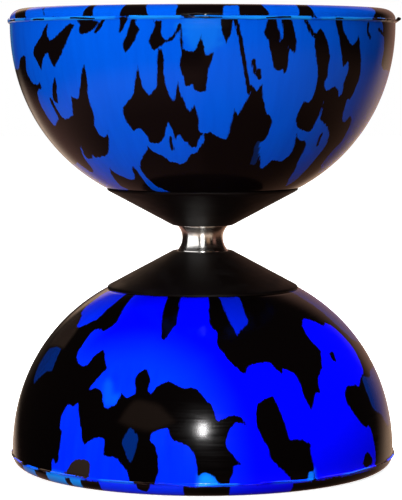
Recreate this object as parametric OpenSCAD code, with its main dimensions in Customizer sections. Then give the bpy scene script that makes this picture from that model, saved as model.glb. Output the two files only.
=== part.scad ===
// Diabolo with a fixed axle: two rubber cups bolted back to back on a waisted metal axle.
// Millimetres. +Z runs along the spin axis. The origin is the middle of the ring that the lower rim stands on.

/* [Cups] */
// Outside diameter of a cup at its parting line, without the flash
cup_d = 105; // [102:0.5:110]
// Height of a cup from its parting line to the seat of the cone
cup_h = 44.7; // [43:0.1:47]
// How far the rounded lip reaches past the parting line
lip_h = 4; // [3.5:0.1:5]
// Width of the lip's outer rounding
lip_w = 3.8; // [3:0.1:4.2]
// Diameter of the flat seat at the neck of a cup
neck_d = 52.8; // [50:0.1:54]
// How full the side of a cup is: 2 is an ellipse, and more is squarer
fullness = 2.07; // [2:0.01:2.2]
// Thickness of the side wall
wall_t = 3.8; // [3:0.1:4.5]
// Width of the flat ring that a rim stands on
land_w = 1.2; // [0.8:0.1:1.6]
// Thickness of the rubber that is clamped at the neck
floor_t = 5.2; // [4.5:0.1:6]
// How far the flash stands proud of the parting line
flash_proud = 0.6; // [0.2:0.1:1]

/* [Cones] */
// Height of a cone from the cup's seat to its tip
cone_h = 10.3; // [9.8:0.1:12]
// Diameter of the flat at a cone's tip
tip_d = 16.4; // [16:0.1:18]
// Wall thickness of the moulding
cone_wall = 2.2; // [1.8:0.1:2.6]
// Number of ribs under a cone
cone_ribs = 8; // [4:1:12]

/* [Axle] */
// Length of bare axle between the two cones, where the string runs
groove_w = 7; // [6:0.1:9]
// Diameter of the axle at its waist
waist_d = 10.9; // [10:0.1:11.5]
// Diameter of the axle's flanges
flange_d = 14.2; // [13.6:0.1:14.4]
// Size of the hexagonal ends across their flats
hex_af = 10; // [9.6:0.1:10.4]
// Length of each hexagonal end
hex_l = 7; // [6:0.1:7.5]

/* [Clamp dishes] */
// Diameter of the dish inside each cup
dish_d = 44; // [40:0.5:46]
// Thickness of its plate
dish_t = 3; // [2.5:0.1:3.5]
// Height of its middle boss
boss_h = 5.7; // [5.4:0.1:6]
// Number of ribs on its open side
dish_ribs = 8; // [4:1:12]

/* [Fasteners] */
// Thread size of the bolts
bolt_d = 6; // [5.9:0.1:6]
// Length of a bolt under its head
bolt_l = 25; // [20:1:25]
// Size of the bolt head across its flats
head_af = 10; // [9:0.5:11]
// Height of the bolt head
head_h = 4; // [3.5:0.1:4.5]
// Diameter of the flat washer
washer_d = 18; // [16:0.5:19]
// Thickness of the flat washer and of the spring washer
washer_t = 1.6; // [1.2:0.1:2]

/* [Hidden] */
$fn = 96;

// Levels of the lower half, from the floor up
seat_z = lip_h + cup_h;
tip_z = seat_z + cone_h;
mid_z = tip_z + groove_w / 2;
overall_h = 2 * mid_z;
floor_z = seat_z - floor_t;
boss_z = floor_z - boss_h;
washer_seat_z = boss_z + 1.5;
spring_seat_z = washer_seat_z - washer_t;
head_z = spring_seat_z - washer_t;

// Cup
cup_r = cup_d / 2;
neck_r = neck_d / 2;
flash_t = 0.9;
mouth_round = 1.4;
inner_r = cup_r - wall_t;
bead_step = lip_w + land_w + mouth_round - wall_t;
bead_low = 1.5;
bead_high = 9;
side_steps = 28;

// Cone, spigot and the hexagonal key of the axle
cone_edge = 0.6;
cone_r = neck_r - 0.2;
tip_r = tip_d / 2;
spigot_r = 8;
spigot_l = floor_t + 1.2;
spigot_gap = 0.15;
flange_t = 1;
flange_r = flange_d / 2;
key_gap = 0.1;
rib_t = 1.6;

// Bolt thread, drawn as rings
pitch = 1;
thread_l = 18;
bolt_r = bolt_d / 2;
thread_depth = 0.58;
thread_gap = 0.06;
bolt_hole_r = 3.3;

rubber_blue = [0.05, 0.25, 0.85];
moulded_black = [0.07, 0.06, 0.06];
polished_steel = [0.80, 0.81, 0.83];
zinc_plate = [0.66, 0.68, 0.70];

// Turns a piece of the lower half over, into its place in the upper half.
module turned_over() {
    translate([0, 0, overall_h]) rotate([180, 0, 0]) children();
}

// Points of a superellipse side that starts upright at radius rim_r and ends at [top_r, top_h].
function side(rim_r, top_r, top_h) =
    let (
        end = acos(pow(top_r / rim_r, fullness / 2)),
        full_h = top_h / pow(sin(end), 2 / fullness)
    )
    [
        for (i = [1:side_steps])
            let (t = end * i / side_steps)
            [rim_r * pow(cos(t), 2 / fullness), full_h * pow(sin(t), 2 / fullness)]
    ];

// Points of an elliptic arc about a centre.
function arc(centre, rx, ry, from, to, steps) = [
    for (i = [0:steps])
        let (a = from + (to - from) * i / steps)
        [centre[0] + rx * cos(a), centre[1] + ry * sin(a)]
];

// How far the bead stands in from the wall at height h above the parting line.
function bead(h) =
    h <= bead_low ? bead_step :
    h >= bead_high ? 0 :
    bead_step * (0.5 + 0.5 * cos(180 * (h - bead_low) / (bead_high - bead_low)));

function reversed(points) = [for (i = [len(points) - 1:-1:0]) points[i]];

// Zigzag of ring threads: count rings, from height low, between radii root and crest.
function rings(low, count, root, crest) = [
    for (i = [0:count - 1])
        each [[root, low + i * pitch], [crest, low + (i + 0.5) * pitch]]
];

// Half section of a cup, with its neck at the top. Height 0 is the parting line.
module cup_section() {
    floor_h = cup_h - floor_t;
    floor_r = dish_d / 2 + 2.5;
    inside = reversed(side(inner_r, floor_r, floor_h));
    polygon(concat(
        arc([cup_r - lip_w, -flash_t / 2], lip_w, lip_h - flash_t / 2, -90, 0, 10),
        [[cup_r + flash_proud, -flash_t / 4], [cup_r + flash_proud, flash_t / 4]],
        [[cup_r, flash_t / 2]],
        side(cup_r, neck_r, cup_h),
        [[spigot_r + spigot_gap, cup_h], [spigot_r + spigot_gap, floor_h]],
        [for (p = inside) [p[0] - bead(p[1]), p[1]]],
        arc(
            [inner_r - bead_step + mouth_round, mouth_round - lip_h],
            mouth_round, mouth_round, 180, 270, 5
        )
    ));
}

module cup() {
    color(rubber_blue)
    translate([0, 0, lip_h])
    rotate_extrude() cup_section();
}

// Outside of a cone, from the seat to the tip.
module cone_form() {
    rotate_extrude() polygon([
        [0, seat_z], [cone_r, seat_z], [cone_r, seat_z + cone_edge],
        [tip_r, tip_z], [0, tip_z]
    ]);
}

// The space under a cone's wall, between its ribs.
module cone_coring() {
    inside_r = cone_r - cone_wall;
    inside_h = cone_h - cone_wall - 0.4;
    slope = (cone_r - tip_r) / (cone_h - cone_edge);
    difference() {
        translate([0, 0, seat_z - 1]) cylinder(r = inside_r, h = inside_h + 1);
        // The wall's own slope, kept one wall thickness inside the outer cone
        rotate_extrude() polygon([
            [inside_r - 1, seat_z + cone_edge], [inside_r + 2, seat_z],
            [inside_r + 2, seat_z + cone_h],
            [inside_r - 1 - slope * (cone_h - cone_edge), seat_z + cone_h]
        ]);
        translate([0, 0, seat_z - 2]) cylinder(r = spigot_r, h = cone_h + 2);
        for (i = [0:cone_ribs - 1])
            rotate([0, 0, 360 * i / cone_ribs])
            translate([0, -rib_t / 2, seat_z - 2]) cube([cone_r, rib_t, cone_h + 2]);
    }
}

module cone() {
    color(moulded_black)
    difference() {
        union() {
            cone_form();
            translate([0, 0, seat_z - spigot_l]) cylinder(r = spigot_r, h = spigot_l + 1);
        }
        cone_coring();
        translate([0, 0, tip_z - flange_t]) cylinder(r = flange_r + 0.05, h = flange_t + 1);
        translate([0, 0, tip_z - flange_t - hex_l - 0.2])
            cylinder(r = (hex_af + key_gap) / sqrt(3), h = hex_l + 1, $fn = 6);
        translate([0, 0, seat_z - spigot_l - 1]) cylinder(r = bolt_hole_r, h = 20);
    }
}

// Flanges and waist of the axle, about its middle.
module axle_spool() {
    depth = flange_r - waist_d / 2;
    half = groove_w / 2;
    // Radius of the groove that is depth deep at half its width
    groove_r = (depth * depth + half * half) / (2 * depth);
    swing = asin(half / groove_r);
    rotate_extrude() polygon(concat(
        [[0, -half - flange_t], [flange_r, -half - flange_t]],
        arc([waist_d / 2 + groove_r, 0], groove_r, groove_r, 180 + swing, 180 - swing, 20),
        [[flange_r, half + flange_t], [0, half + flange_t]]
    ));
}

module axle() {
    end_l = groove_w / 2 + flange_t + hex_l;
    bore_rings = 2 * ceil(end_l / pitch) + 2;
    color(polished_steel)
    translate([0, 0, mid_z])
    difference() {
        union() {
            axle_spool();
            translate([0, 0, -end_l]) cylinder(r = hex_af / sqrt(3), h = 2 * end_l, $fn = 6);
        }
        rotate_extrude() polygon(concat(
            [[0, -bore_rings * pitch / 2]],
            rings(
                -bore_rings * pitch / 2, bore_rings,
                bolt_r - thread_depth + thread_gap, bolt_r + thread_gap
            ),
            [[0, bore_rings * pitch / 2]]
        ));
    }
}

module dish_form() {
    dish_r = dish_d / 2;
    plate_z = floor_z - dish_t;
    boss_r = washer_d / 2 + 2.6;
    union() {
        rotate_extrude() polygon(concat(
            [[0, floor_z], [0, boss_z], [boss_r - 0.6, boss_z], [boss_r, boss_z + 0.6]],
            [[boss_r + 0.5, plate_z]],
            arc([dish_r - dish_t, floor_z], dish_t, dish_t, -90, 0, 8)
        ));
        for (i = [0:dish_ribs - 1])
            rotate([0, 0, 360 * (i + 0.5) / dish_ribs])
            rotate([90, 0, 0])
            translate([0, 0, -rib_t / 2])
            linear_extrude(rib_t) polygon([
                [boss_r - 1, plate_z + 1], [boss_r - 1, boss_z + 0.9],
                [dish_r - 3, plate_z], [dish_r - 3, plate_z + 1]
            ]);
    }
}

module clamp_dish() {
    color(moulded_black)
    difference() {
        dish_form();
        translate([0, 0, seat_z - spigot_l - 0.3])
            cylinder(r = spigot_r + spigot_gap, h = 5);
        translate([0, 0, boss_z - 1])
            cylinder(r = washer_d / 2 + 0.2, h = washer_seat_z - boss_z + 1);
        translate([0, 0, boss_z - 1]) cylinder(r = bolt_hole_r, h = boss_h + 2);
    }
}

module flat_washer() {
    color(zinc_plate)
    difference() {
        translate([0, 0, spring_seat_z]) cylinder(r = washer_d / 2, h = washer_t);
        translate([0, 0, spring_seat_z - 1]) cylinder(r = bolt_r + 0.2, h = washer_t + 2);
    }
}

// A split washer, pressed flat, with its slanting slot.
module spring_washer() {
    outer_r = 5.9;
    slot_w = 0.6;
    color(zinc_plate)
    difference() {
        translate([0, 0, head_z]) cylinder(r = outer_r, h = washer_t);
        translate([0, 0, head_z - 1]) cylinder(r = bolt_r + 0.1, h = washer_t + 2);
        translate([0, 0, head_z + washer_t / 2])
            rotate([25, 0, 0]) translate([0, -slot_w / 2, -washer_t])
            cube([outer_r + 1, slot_w, 2 * washer_t]);
    }
}

module bolt() {
    // Rings line up with the axle's thread, which is counted from its middle.
    tip_gap = mid_z - head_z - bolt_l;
    ring_count = floor(thread_l / pitch);
    top = head_z + bolt_l;
    first = mid_z - ceil(tip_gap / pitch) * pitch - ring_count * pitch;
    corner_r = head_af / sqrt(3);
    color(zinc_plate)
    union() {
        intersection() {
            translate([0, 0, head_z - head_h]) cylinder(r = corner_r, h = head_h, $fn = 6);
            rotate_extrude() polygon([
                [0, head_z - head_h], [corner_r - 1, head_z - head_h],
                [corner_r, head_z - head_h + 0.6], [corner_r, head_z], [0, head_z]
            ]);
        }
        rotate_extrude() polygon(concat(
            [[0, head_z - 0.5], [bolt_r - 0.05, head_z - 0.5], [bolt_r - 0.05, first - 0.4]],
            rings(first, ring_count, bolt_r - thread_depth, bolt_r - 0.02),
            [[bolt_r - thread_depth, first + ring_count * pitch], [1.9, top], [0, top]]
        ));
    }
}

axle();
cone();  // lower_cone
turned_over() cone();  // upper_cone
cup();  // lower_cup
turned_over() cup();  // upper_cup
clamp_dish();  // lower_clamp_dish
turned_over() clamp_dish();  // upper_clamp_dish
flat_washer();  // lower_flat_washer
turned_over() flat_washer();  // upper_flat_washer
spring_washer();  // lower_spring_washer
turned_over() spring_washer();  // upper_spring_washer
bolt();  // lower_bolt
turned_over() bolt();  // upper_bolt
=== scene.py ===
"""Looks of a fixed-axle diabolo: marbled rubber cups, moulded cones, a turned axle and the fasteners inside.

Lengths are millimetres while a shape is worked out, and metres once it is in a mesh. Angles are degrees,
counted from the front (-Y) towards +X. The spin axis is +Z, and the lower rim stands on Z = 0.
"""

from __future__ import annotations

import logging
import math
from dataclasses import dataclass, field
from enum import Enum
from functools import reduce

import bpy
import numpy as np
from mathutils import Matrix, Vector

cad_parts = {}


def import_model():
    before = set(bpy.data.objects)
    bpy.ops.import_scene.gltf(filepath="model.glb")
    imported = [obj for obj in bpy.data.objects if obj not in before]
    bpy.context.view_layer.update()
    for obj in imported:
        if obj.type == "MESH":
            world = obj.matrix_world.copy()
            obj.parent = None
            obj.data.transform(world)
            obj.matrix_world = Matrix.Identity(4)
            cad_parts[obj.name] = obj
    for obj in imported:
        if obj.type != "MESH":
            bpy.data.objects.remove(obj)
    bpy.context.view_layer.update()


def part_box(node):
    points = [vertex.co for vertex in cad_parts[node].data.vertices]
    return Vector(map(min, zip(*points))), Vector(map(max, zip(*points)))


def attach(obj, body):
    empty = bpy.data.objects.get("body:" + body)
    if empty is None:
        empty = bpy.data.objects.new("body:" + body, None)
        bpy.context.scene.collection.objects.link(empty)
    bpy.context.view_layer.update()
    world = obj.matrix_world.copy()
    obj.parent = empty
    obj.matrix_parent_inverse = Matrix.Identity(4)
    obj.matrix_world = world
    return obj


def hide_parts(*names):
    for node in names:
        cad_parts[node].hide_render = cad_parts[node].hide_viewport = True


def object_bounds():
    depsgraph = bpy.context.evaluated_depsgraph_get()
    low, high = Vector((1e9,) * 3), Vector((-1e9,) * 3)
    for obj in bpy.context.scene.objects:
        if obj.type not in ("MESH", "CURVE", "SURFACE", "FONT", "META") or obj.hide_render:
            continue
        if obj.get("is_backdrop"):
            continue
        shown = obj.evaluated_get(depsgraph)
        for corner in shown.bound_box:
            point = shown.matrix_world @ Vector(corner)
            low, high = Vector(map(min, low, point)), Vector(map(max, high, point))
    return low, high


log = logging.getLogger("diabolo")

MM = 0.001
BODY = "root"
Array = np.ndarray
Point = tuple[float, float]
Colour = tuple[float, float, float]
Piece = bpy.types.Object
Material = bpy.types.Material
Socket = bpy.types.NodeSocket


# ---------------------------------------------------------------------------------------------------------
# Sizes, read from the frame
# ---------------------------------------------------------------------------------------------------------


class Side(Enum):
    """The two halves of the diabolo."""

    LOWER = "lower"
    UPPER = "upper"


@dataclass(frozen=True)
class Levels:
    """Heights and radii of the lower half, in millimetres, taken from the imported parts."""

    overall: float
    seat: float
    tip: float
    dish_top: float
    boss: float
    washer_seat: float
    spring_seat: float
    head: float
    head_low: float
    bolt_top: float
    spigot_low: float
    axle_end: float
    flash_r: float
    cone_r: float
    dish_r: float
    washer_r: float
    spring_r: float
    flange_r: float

    @classmethod
    def from_frame(cls) -> Levels:
        """Measures the CAD nodes of the lower half.

        Returns:
            The levels and radii that every piece is built to.
        """

        def low(node: str) -> float:
            """Bottom of a node."""
            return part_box(node)[0].z / MM

        def high(node: str) -> float:
            """Top of a node."""
            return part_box(node)[1].z / MM

        def reach(node: str) -> float:
            """Greatest X of a node."""
            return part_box(node)[1].x / MM

        return cls(
            overall=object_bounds()[1].z / MM,
            seat=high("lower_cup"),
            tip=high("lower_cone"),
            dish_top=high("lower_clamp_dish"),
            boss=low("lower_clamp_dish"),
            washer_seat=high("lower_flat_washer"),
            spring_seat=low("lower_flat_washer"),
            head=low("lower_spring_washer"),
            head_low=low("lower_bolt"),
            bolt_top=high("lower_bolt"),
            spigot_low=low("lower_cone"),
            axle_end=low("axle"),
            flash_r=reach("lower_cup"),
            cone_r=reach("lower_cone"),
            dish_r=reach("lower_clamp_dish"),
            washer_r=reach("lower_flat_washer"),
            spring_r=reach("lower_spring_washer"),
            flange_r=reach("axle"),
        )

    @property
    def middle(self) -> float:
        """Height of the middle of the axle."""
        return self.overall / 2


# ---------------------------------------------------------------------------------------------------------
# Curves and surfaces
# ---------------------------------------------------------------------------------------------------------


def arc(centre: Point, radii: Point, start: float, end: float, steps: int) -> Array:
    """Points of an elliptic arc in the (radius, height) plane.

    Args:
        centre: Middle of the ellipse.
        radii: Its half widths along radius and height.
        start: First angle, where 0 points along +radius and 90 along +height.
        end: Last angle.
        steps: Number of intervals.

    Returns:
        An array of steps + 1 points.
    """
    t = np.radians(np.linspace(start, end, steps + 1))
    return np.column_stack([centre[0] + radii[0] * np.cos(t), centre[1] + radii[1] * np.sin(t)])


def line(start: Point, end: Point, steps: int) -> Array:
    """Points evenly spaced from start to end, both included."""
    return np.linspace(start, end, steps + 1)


def join(*parts: Array) -> Array:
    """Puts profile pieces end to end and drops points that repeat the one before."""
    points = np.vstack(parts)
    step = np.hypot(*np.diff(points, axis=0).T)
    return points[np.concatenate([[True], step > 1e-6])]


def superellipse(rim_r: float, top_r: float, top_h: float, power: float, steps: int) -> Array:
    """Side of a bowl, (r / rim_r)^power + (h / full_h)^power = 1, from its rim up to (top_r, top_h).

    Args:
        rim_r: Radius at height 0.
        top_r: Radius where the side ends.
        top_h: Height where the side ends.
        power: Fullness of the side; 2 is an ellipse.
        steps: Number of intervals.

    Returns:
        An array of steps + 1 points, nearly evenly spaced along the curve.
    """
    end = math.acos((top_r / rim_r) ** (power / 2))
    full_h = top_h / math.sin(end) ** (2 / power)
    t = np.linspace(0, end, steps + 1)
    return np.column_stack([rim_r * np.cos(t) ** (2 / power), full_h * np.sin(t) ** (2 / power)])


def smoothstep(low: float, high: float, x: Array) -> Array:
    """0 below low, 1 above high, and 3t^2 - 2t^3 between."""
    t = np.clip((x - low) / (high - low), 0, 1)
    return t * t * (3 - 2 * t)


def ripple(
    azimuth: Array, along: Array, seed: int, turns: tuple[int, int], wavelength: float, waves: int = 8
) -> Array:
    """Smooth random waves that close on themselves round the axis.

    The value is a sum of sin(n * azimuth + k * along + phase) over random whole numbers n, wave numbers k
    and phases, scaled to a spread of about 1.

    Args:
        azimuth: Angles in degrees.
        along: Distances along the meridian, in millimetres.
        seed: Seed of the random draw.
        turns: Lowest and highest number of waves round a turn.
        wavelength: Shortest wavelength along the meridian, in millimetres.
        waves: Number of waves in the sum.

    Returns:
        The wave height at each point.
    """
    rng = np.random.default_rng(seed)
    number = rng.integers(turns[0], turns[1] + 1, waves)
    wave = rng.uniform(-1, 1, waves) * 2 * math.pi / wavelength
    phase = rng.uniform(0, 2 * math.pi, waves)
    total = np.zeros(np.broadcast(azimuth, along).shape)
    angle = np.radians(azimuth)
    for n, k, p in zip(number, wave, phase):
        total += np.sin(n * angle + k * along + p)
    return total / math.sqrt(waves)


def hexagon(azimuth: Array, across_flats: float) -> Array:
    """Radius of a regular hexagon in each direction, with a corner at azimuth 90."""
    turned = np.mod(azimuth - 90, 60) - 30
    return across_flats / 2 / np.cos(np.radians(turned))


def thread(azimuth: Array, height: Array, pitch: float, depth: float) -> Array:
    """Depth of a right-hand V thread below its crest: a triangle wave of height / pitch - turn."""
    phase = np.mod(height / pitch - azimuth / 360, 1)
    return depth * (1 - np.abs(2 * phase - 1))


def cylinder_points(radius: Array, azimuth: Array, height: Array) -> Array:
    """Turns radius, azimuth and height into X, Y, Z, with azimuth 0 at -Y and 90 at +X."""
    angle = np.radians(azimuth)
    radius, angle, height = np.broadcast_arrays(radius, angle, height)
    return np.stack([radius * np.sin(angle), -radius * np.cos(angle), height], axis=-1)


def around(segments: int) -> Array:
    """Azimuths of the columns of a surface that goes once round the axis."""
    return np.arange(segments) * 360 / segments


def turned_over(points: Array, overall: float) -> Array:
    """Turns lower-half points half a turn about the X line through the middle, into the upper half."""
    return points * np.array([1, -1, -1]) + np.array([0, 0, overall])


def mesh_from_grid(name: str, points: Array, loop_rows: bool, crease: float = 32) -> Piece:
    """Makes a closed mesh object from a grid of points.

    Rows follow the profile, and columns go round and close on themselves. Where the rows don't, the first
    and the last row are each closed with a fan of triangles about their middle. Faces are turned outwards
    by the sign of the enclosed volume.

    Args:
        name: Name of the object.
        points: Array of rows x columns x 3, in millimetres.
        loop_rows: Whether the last row joins the first.
        crease: Angle in degrees above which an edge is drawn sharp.

    Returns:
        The new object, at the origin, linked to the scene.
    """
    rows, columns, _ = points.shape
    vertices = points.reshape(-1, 3)
    index = np.arange(rows * columns).reshape(rows, columns)
    below = index if loop_rows else index[:-1]
    above = np.roll(index, -1, axis=0) if loop_rows else index[1:]
    corners = [below, np.roll(below, -1, axis=1), np.roll(above, -1, axis=1), above]
    quads = np.stack(corners, axis=-1).reshape(-1, 4)
    triangles = np.zeros((0, 3), int)
    if not loop_rows:
        for ring, flip in ((index[0], False), (index[-1], True)):
            middle = len(vertices)
            vertices = np.vstack([vertices, vertices[ring].mean(axis=0)])
            following = np.roll(ring, -1)
            pair = (ring, following) if flip else (following, ring)
            fan = np.column_stack([*pair, np.full(len(ring), middle)])
            triangles = np.vstack([triangles, fan])
    split = np.vstack([quads[:, [0, 1, 2]], quads[:, [0, 2, 3]], triangles])
    a, b, c = (vertices[split[:, i]] for i in range(3))
    if np.einsum("ij,ij->i", a, np.cross(b, c)).sum() < 0:
        quads, triangles = quads[:, ::-1], triangles[:, ::-1]
    return mesh_object(name, vertices, quads, triangles, crease)


def mesh_object(name: str, vertices: Array, quads: Array, triangles: Array, crease: float) -> Piece:
    """Makes a smooth-shaded mesh object with sharp creases.

    Args:
        name: Name of the object.
        vertices: One X, Y, Z per vertex, in millimetres.
        quads: Vertex numbers of the four-sided faces.
        triangles: Vertex numbers of the three-sided faces.
        crease: Angle in degrees above which an edge is drawn sharp.

    Returns:
        The new object, at the origin, linked to the scene.
    """
    mesh = bpy.data.meshes.new(name)
    mesh.vertices.add(len(vertices))
    mesh.vertices.foreach_set("co", (vertices * MM).ravel())
    corners = np.concatenate([quads.ravel(), triangles.ravel()])
    mesh.loops.add(len(corners))
    mesh.loops.foreach_set("vertex_index", corners)
    mesh.polygons.add(len(quads) + len(triangles))
    starts = np.concatenate([np.arange(len(quads)) * 4, quads.size + np.arange(len(triangles)) * 3])
    mesh.polygons.foreach_set("loop_start", starts)
    mesh.update(calc_edges=True)
    mesh.validate()
    mesh.shade_smooth()
    mesh.set_sharp_from_angle(angle=math.radians(crease))
    piece = bpy.data.objects.new(name, mesh)
    bpy.context.scene.collection.objects.link(piece)
    return piece


# ---------------------------------------------------------------------------------------------------------
# Materials
# ---------------------------------------------------------------------------------------------------------


class NodeSheet:
    """An emptied node tree, with short ways to add the nodes that the finishes and surroundings use."""

    NOISE_ROUGHNESS = 0.55

    def __init__(self, tree: bpy.types.NodeTree) -> None:
        """Clears the tree."""
        self.tree = tree
        self.tree.nodes.clear()

    def link(self, source: Socket, target: Socket) -> None:
        """Joins two sockets."""
        self.tree.links.new(source, target)

    def put(self, target: Socket, value: object) -> None:
        """Sets a socket to a number or colour, or links it if value is a socket."""
        if isinstance(value, Socket):
            self.link(value, target)
        elif isinstance(value, tuple) and len(value) == 3 and target.type == "RGBA":
            target.default_value = (*value, 1.0)
        else:
            target.default_value = value

    def position(self) -> Socket:
        """Object coordinates, in metres."""
        return self.tree.nodes.new("ShaderNodeTexCoord").outputs["Object"]

    def attribute(self, name: str, output: str = "Fac") -> Socket:
        """A value that the mesh carries at its points."""
        node = self.tree.nodes.new("ShaderNodeAttribute")
        node.attribute_name = name
        return node.outputs[output]

    def stretched(self, vector: Socket, scale: tuple[float, float, float]) -> Socket:
        """Coordinates multiplied axis by axis, so that a pattern is drawn out along one of them."""
        node = self.tree.nodes.new("ShaderNodeMapping")
        self.link(vector, node.inputs["Vector"])
        node.inputs["Scale"].default_value = scale
        return node.outputs["Vector"]

    def noise(self, vector: Socket, scale: float, detail: float = 3.0) -> Socket:
        """Cloudy noise between about 0.2 and 0.8."""
        node = self.tree.nodes.new("ShaderNodeTexNoise")
        self.link(vector, node.inputs["Vector"])
        node.inputs["Scale"].default_value = scale
        node.inputs["Detail"].default_value = detail
        node.inputs["Roughness"].default_value = self.NOISE_ROUGHNESS
        return node.outputs["Fac"]

    def maths(self, operation: str, *values: object) -> Socket:
        """One step of arithmetic on sockets or numbers."""
        node = self.tree.nodes.new("ShaderNodeMath")
        node.operation = operation
        for socket, value in zip(node.inputs, values):
            self.put(socket, value)
        return node.outputs["Value"]

    def around_axis(self) -> Socket:
        """The direction round the spin axis at each point, along which a lathe tool cuts."""
        node = self.tree.nodes.new("ShaderNodeTangent")
        node.direction_type = "RADIAL"
        node.axis = "Z"
        return node.outputs["Tangent"]

    def remap(self, value: Socket, source: Point, target: Point) -> Socket:
        """Carries one range onto another, clamped at both ends."""
        node = self.tree.nodes.new("ShaderNodeMapRange")
        self.link(value, node.inputs["Value"])
        node.inputs["From Min"].default_value, node.inputs["From Max"].default_value = source
        node.inputs["To Min"].default_value, node.inputs["To Max"].default_value = target
        return node.outputs["Result"]

    def ramp(self, value: Socket, start: float, end: float, top: float = 1.0) -> Socket:
        """0 at start and beyond it, rising evenly to the top at end."""
        return self.remap(value, (start, end), (0.0, top))

    def product(self, *factors: Socket) -> Socket:
        """All the factors multiplied together."""
        return reduce(lambda total, factor: self.maths("MULTIPLY", total, factor), factors)

    def mix(self, factor: object, first: object, second: object) -> Socket:
        """Blends two colours."""
        node = self.tree.nodes.new("ShaderNodeMix")
        node.data_type = "RGBA"
        self.put(node.inputs["Factor"], factor)
        colours = [socket for socket in node.inputs if socket.type == "RGBA"]
        self.put(colours[0], first)
        self.put(colours[1], second)
        return next(socket for socket in node.outputs if socket.type == "RGBA")

    def bump(self, height: Socket, depth: float, strength: float, under: Socket | None = None) -> Socket:
        """Small relief.

        Args:
            height: The relief, from 0 to 1.
            depth: What a height of 1 stands for, in metres.
            strength: How much of the relief shows.
            under: A coarser relief that this one lies on.

        Returns:
            The bent normal.
        """
        node = self.tree.nodes.new("ShaderNodeBump")
        node.inputs["Distance"].default_value = depth
        node.inputs["Strength"].default_value = strength
        self.link(height, node.inputs["Height"])
        if under is not None:
            self.link(under, node.inputs["Normal"])
        return node.outputs["Normal"]


class Finish(NodeSheet):
    """The node tree of a new material with one Principled shader."""

    def __init__(self, name: str) -> None:
        """Starts the material."""
        self.material = bpy.data.materials.new(name)
        self.material.use_nodes = True
        super().__init__(self.material.node_tree)
        output = self.tree.nodes.new("ShaderNodeOutputMaterial")
        self.shader = self.tree.nodes.new("ShaderNodeBsdfPrincipled")
        self.link(self.shader.outputs["BSDF"], output.inputs["Surface"])

    def surface(self, **sockets: object) -> Material:
        """Fills the shader's sockets, named with underscores for spaces, and returns the material."""
        for name, value in sockets.items():
            self.put(self.shader.inputs[name.replace("_", " ")], value)
        return self.material


@dataclass(frozen=True)
class MarbledRubber:
    """Glossy black rubber with blue batches pressed into it.

    The mesh carries "marble", the distance in millimetres into the blue, and "tone", from -1 where the blue is
    filmed over with black to 1 where a highlight or reflection is painted on it in lighter blue. It also carries
    a share from 0 to 1 of painted shade, drawn as a deeper, less green blue where less light falls, a share from
    0 to 1 of a reflection of the brown table painted on the black, and "unrolled", a place on the unrolled
    surface.
    """

    name: str
    blue: Colour
    # Deeper blue, used for random streaks and for painted shade where less light falls.
    deep: Colour
    filmed: Colour
    # Lighter blue of painted highlights and painted reflections.
    pale: Colour
    black: Colour = (0.0010, 0.0006, 0.0006)
    # Brown of a reflection of the table, painted on the black.
    scuffed: Colour = (0.021, 0.0135, 0.010)
    roughness: tuple[float, float] = (0.09, 0.20)

    def build(self) -> Material:
        """Makes the material."""
        sheet = Finish(self.name)
        place = sheet.position()
        unrolled = sheet.attribute("unrolled", "Vector")
        marble = sheet.attribute("marble")
        tone = sheet.attribute("tone")
        feather = sheet.noise(sheet.stretched(unrolled, (1.0, 1.0, 0.22)), 1.6, detail=4.0)
        ragged = sheet.maths("MULTIPLY_ADD", sheet.maths("SUBTRACT", feather, 0.5), 1.1, marble)
        edge = sheet.ramp(ragged, -0.13, 0.13)
        streaks = sheet.noise(sheet.stretched(unrolled, (1.0, 1.0, 0.12)), 0.55, detail=3.0)
        # Deeper blue where painted shade is drawn, and in random streaks.
        depth = sheet.maths("MAXIMUM", sheet.attribute("deep"), sheet.ramp(streaks, 0.35, 0.75, top=0.4))
        blue = sheet.mix(depth, self.blue, self.deep)
        blue = sheet.mix(sheet.ramp(tone, 0.0, -1.0), blue, self.filmed)
        # Painted highlights and reflections: the blue turns lighter where the tone is above 0.
        blue = sheet.mix(sheet.ramp(tone, 0.0, 1.0), blue, self.pale)
        # Painted reflection: the black turns brown where a reflection of the brown table is painted.
        black = sheet.mix(sheet.attribute("table_reflection"), self.black, self.scuffed)
        colour = sheet.mix(edge, black, blue)
        wiped = sheet.noise(sheet.stretched(place, (60.0, 60.0, 2600.0)), 1.0, detail=2.0)
        cloudy = sheet.noise(place, 90.0, detail=2.0)
        gloss = sheet.maths("ADD", sheet.maths("MULTIPLY", wiped, 0.6), sheet.maths("MULTIPLY", cloudy, 0.4))
        skin = sheet.noise(place, 2600.0, detail=2.0)
        relief = sheet.bump(wiped, 0.00002, 0.25)
        relief = sheet.bump(skin, 0.000015, 0.25, relief)
        return sheet.surface(
            Base_Color=colour,
            Roughness=sheet.remap(gloss, (0.35, 0.65), self.roughness),
            Normal=relief,
            IOR=1.36,
        )


@dataclass(frozen=True)
class MouldedPlastic:
    """Satin black moulding with a fine spark-eroded grain and faint flow marks."""

    name: str
    colour: Colour = (0.0036, 0.0023, 0.0021)
    rubbed: Colour = (0.008, 0.0065, 0.0064)
    roughness: tuple[float, float] = (0.42, 0.56)
    grain: float = 2200.0

    def build(self) -> Material:
        """Makes the material."""
        sheet = Finish(self.name)
        place = sheet.position()
        grain = sheet.noise(place, self.grain, detail=2.0)
        flow = sheet.noise(sheet.stretched(place, (1.0, 1.0, 3.0)), 160.0, detail=4.0)
        colour = sheet.mix(sheet.ramp(flow, 0.45, 0.75), self.colour, self.rubbed)
        relief = sheet.bump(flow, 0.00006, 0.20)
        relief = sheet.bump(grain, 0.00003, 0.45, relief)
        return sheet.surface(
            Base_Color=colour,
            Roughness=sheet.remap(flow, (0.3, 0.7), self.roughness),
            Normal=relief,
            IOR=1.27,
        )


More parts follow.
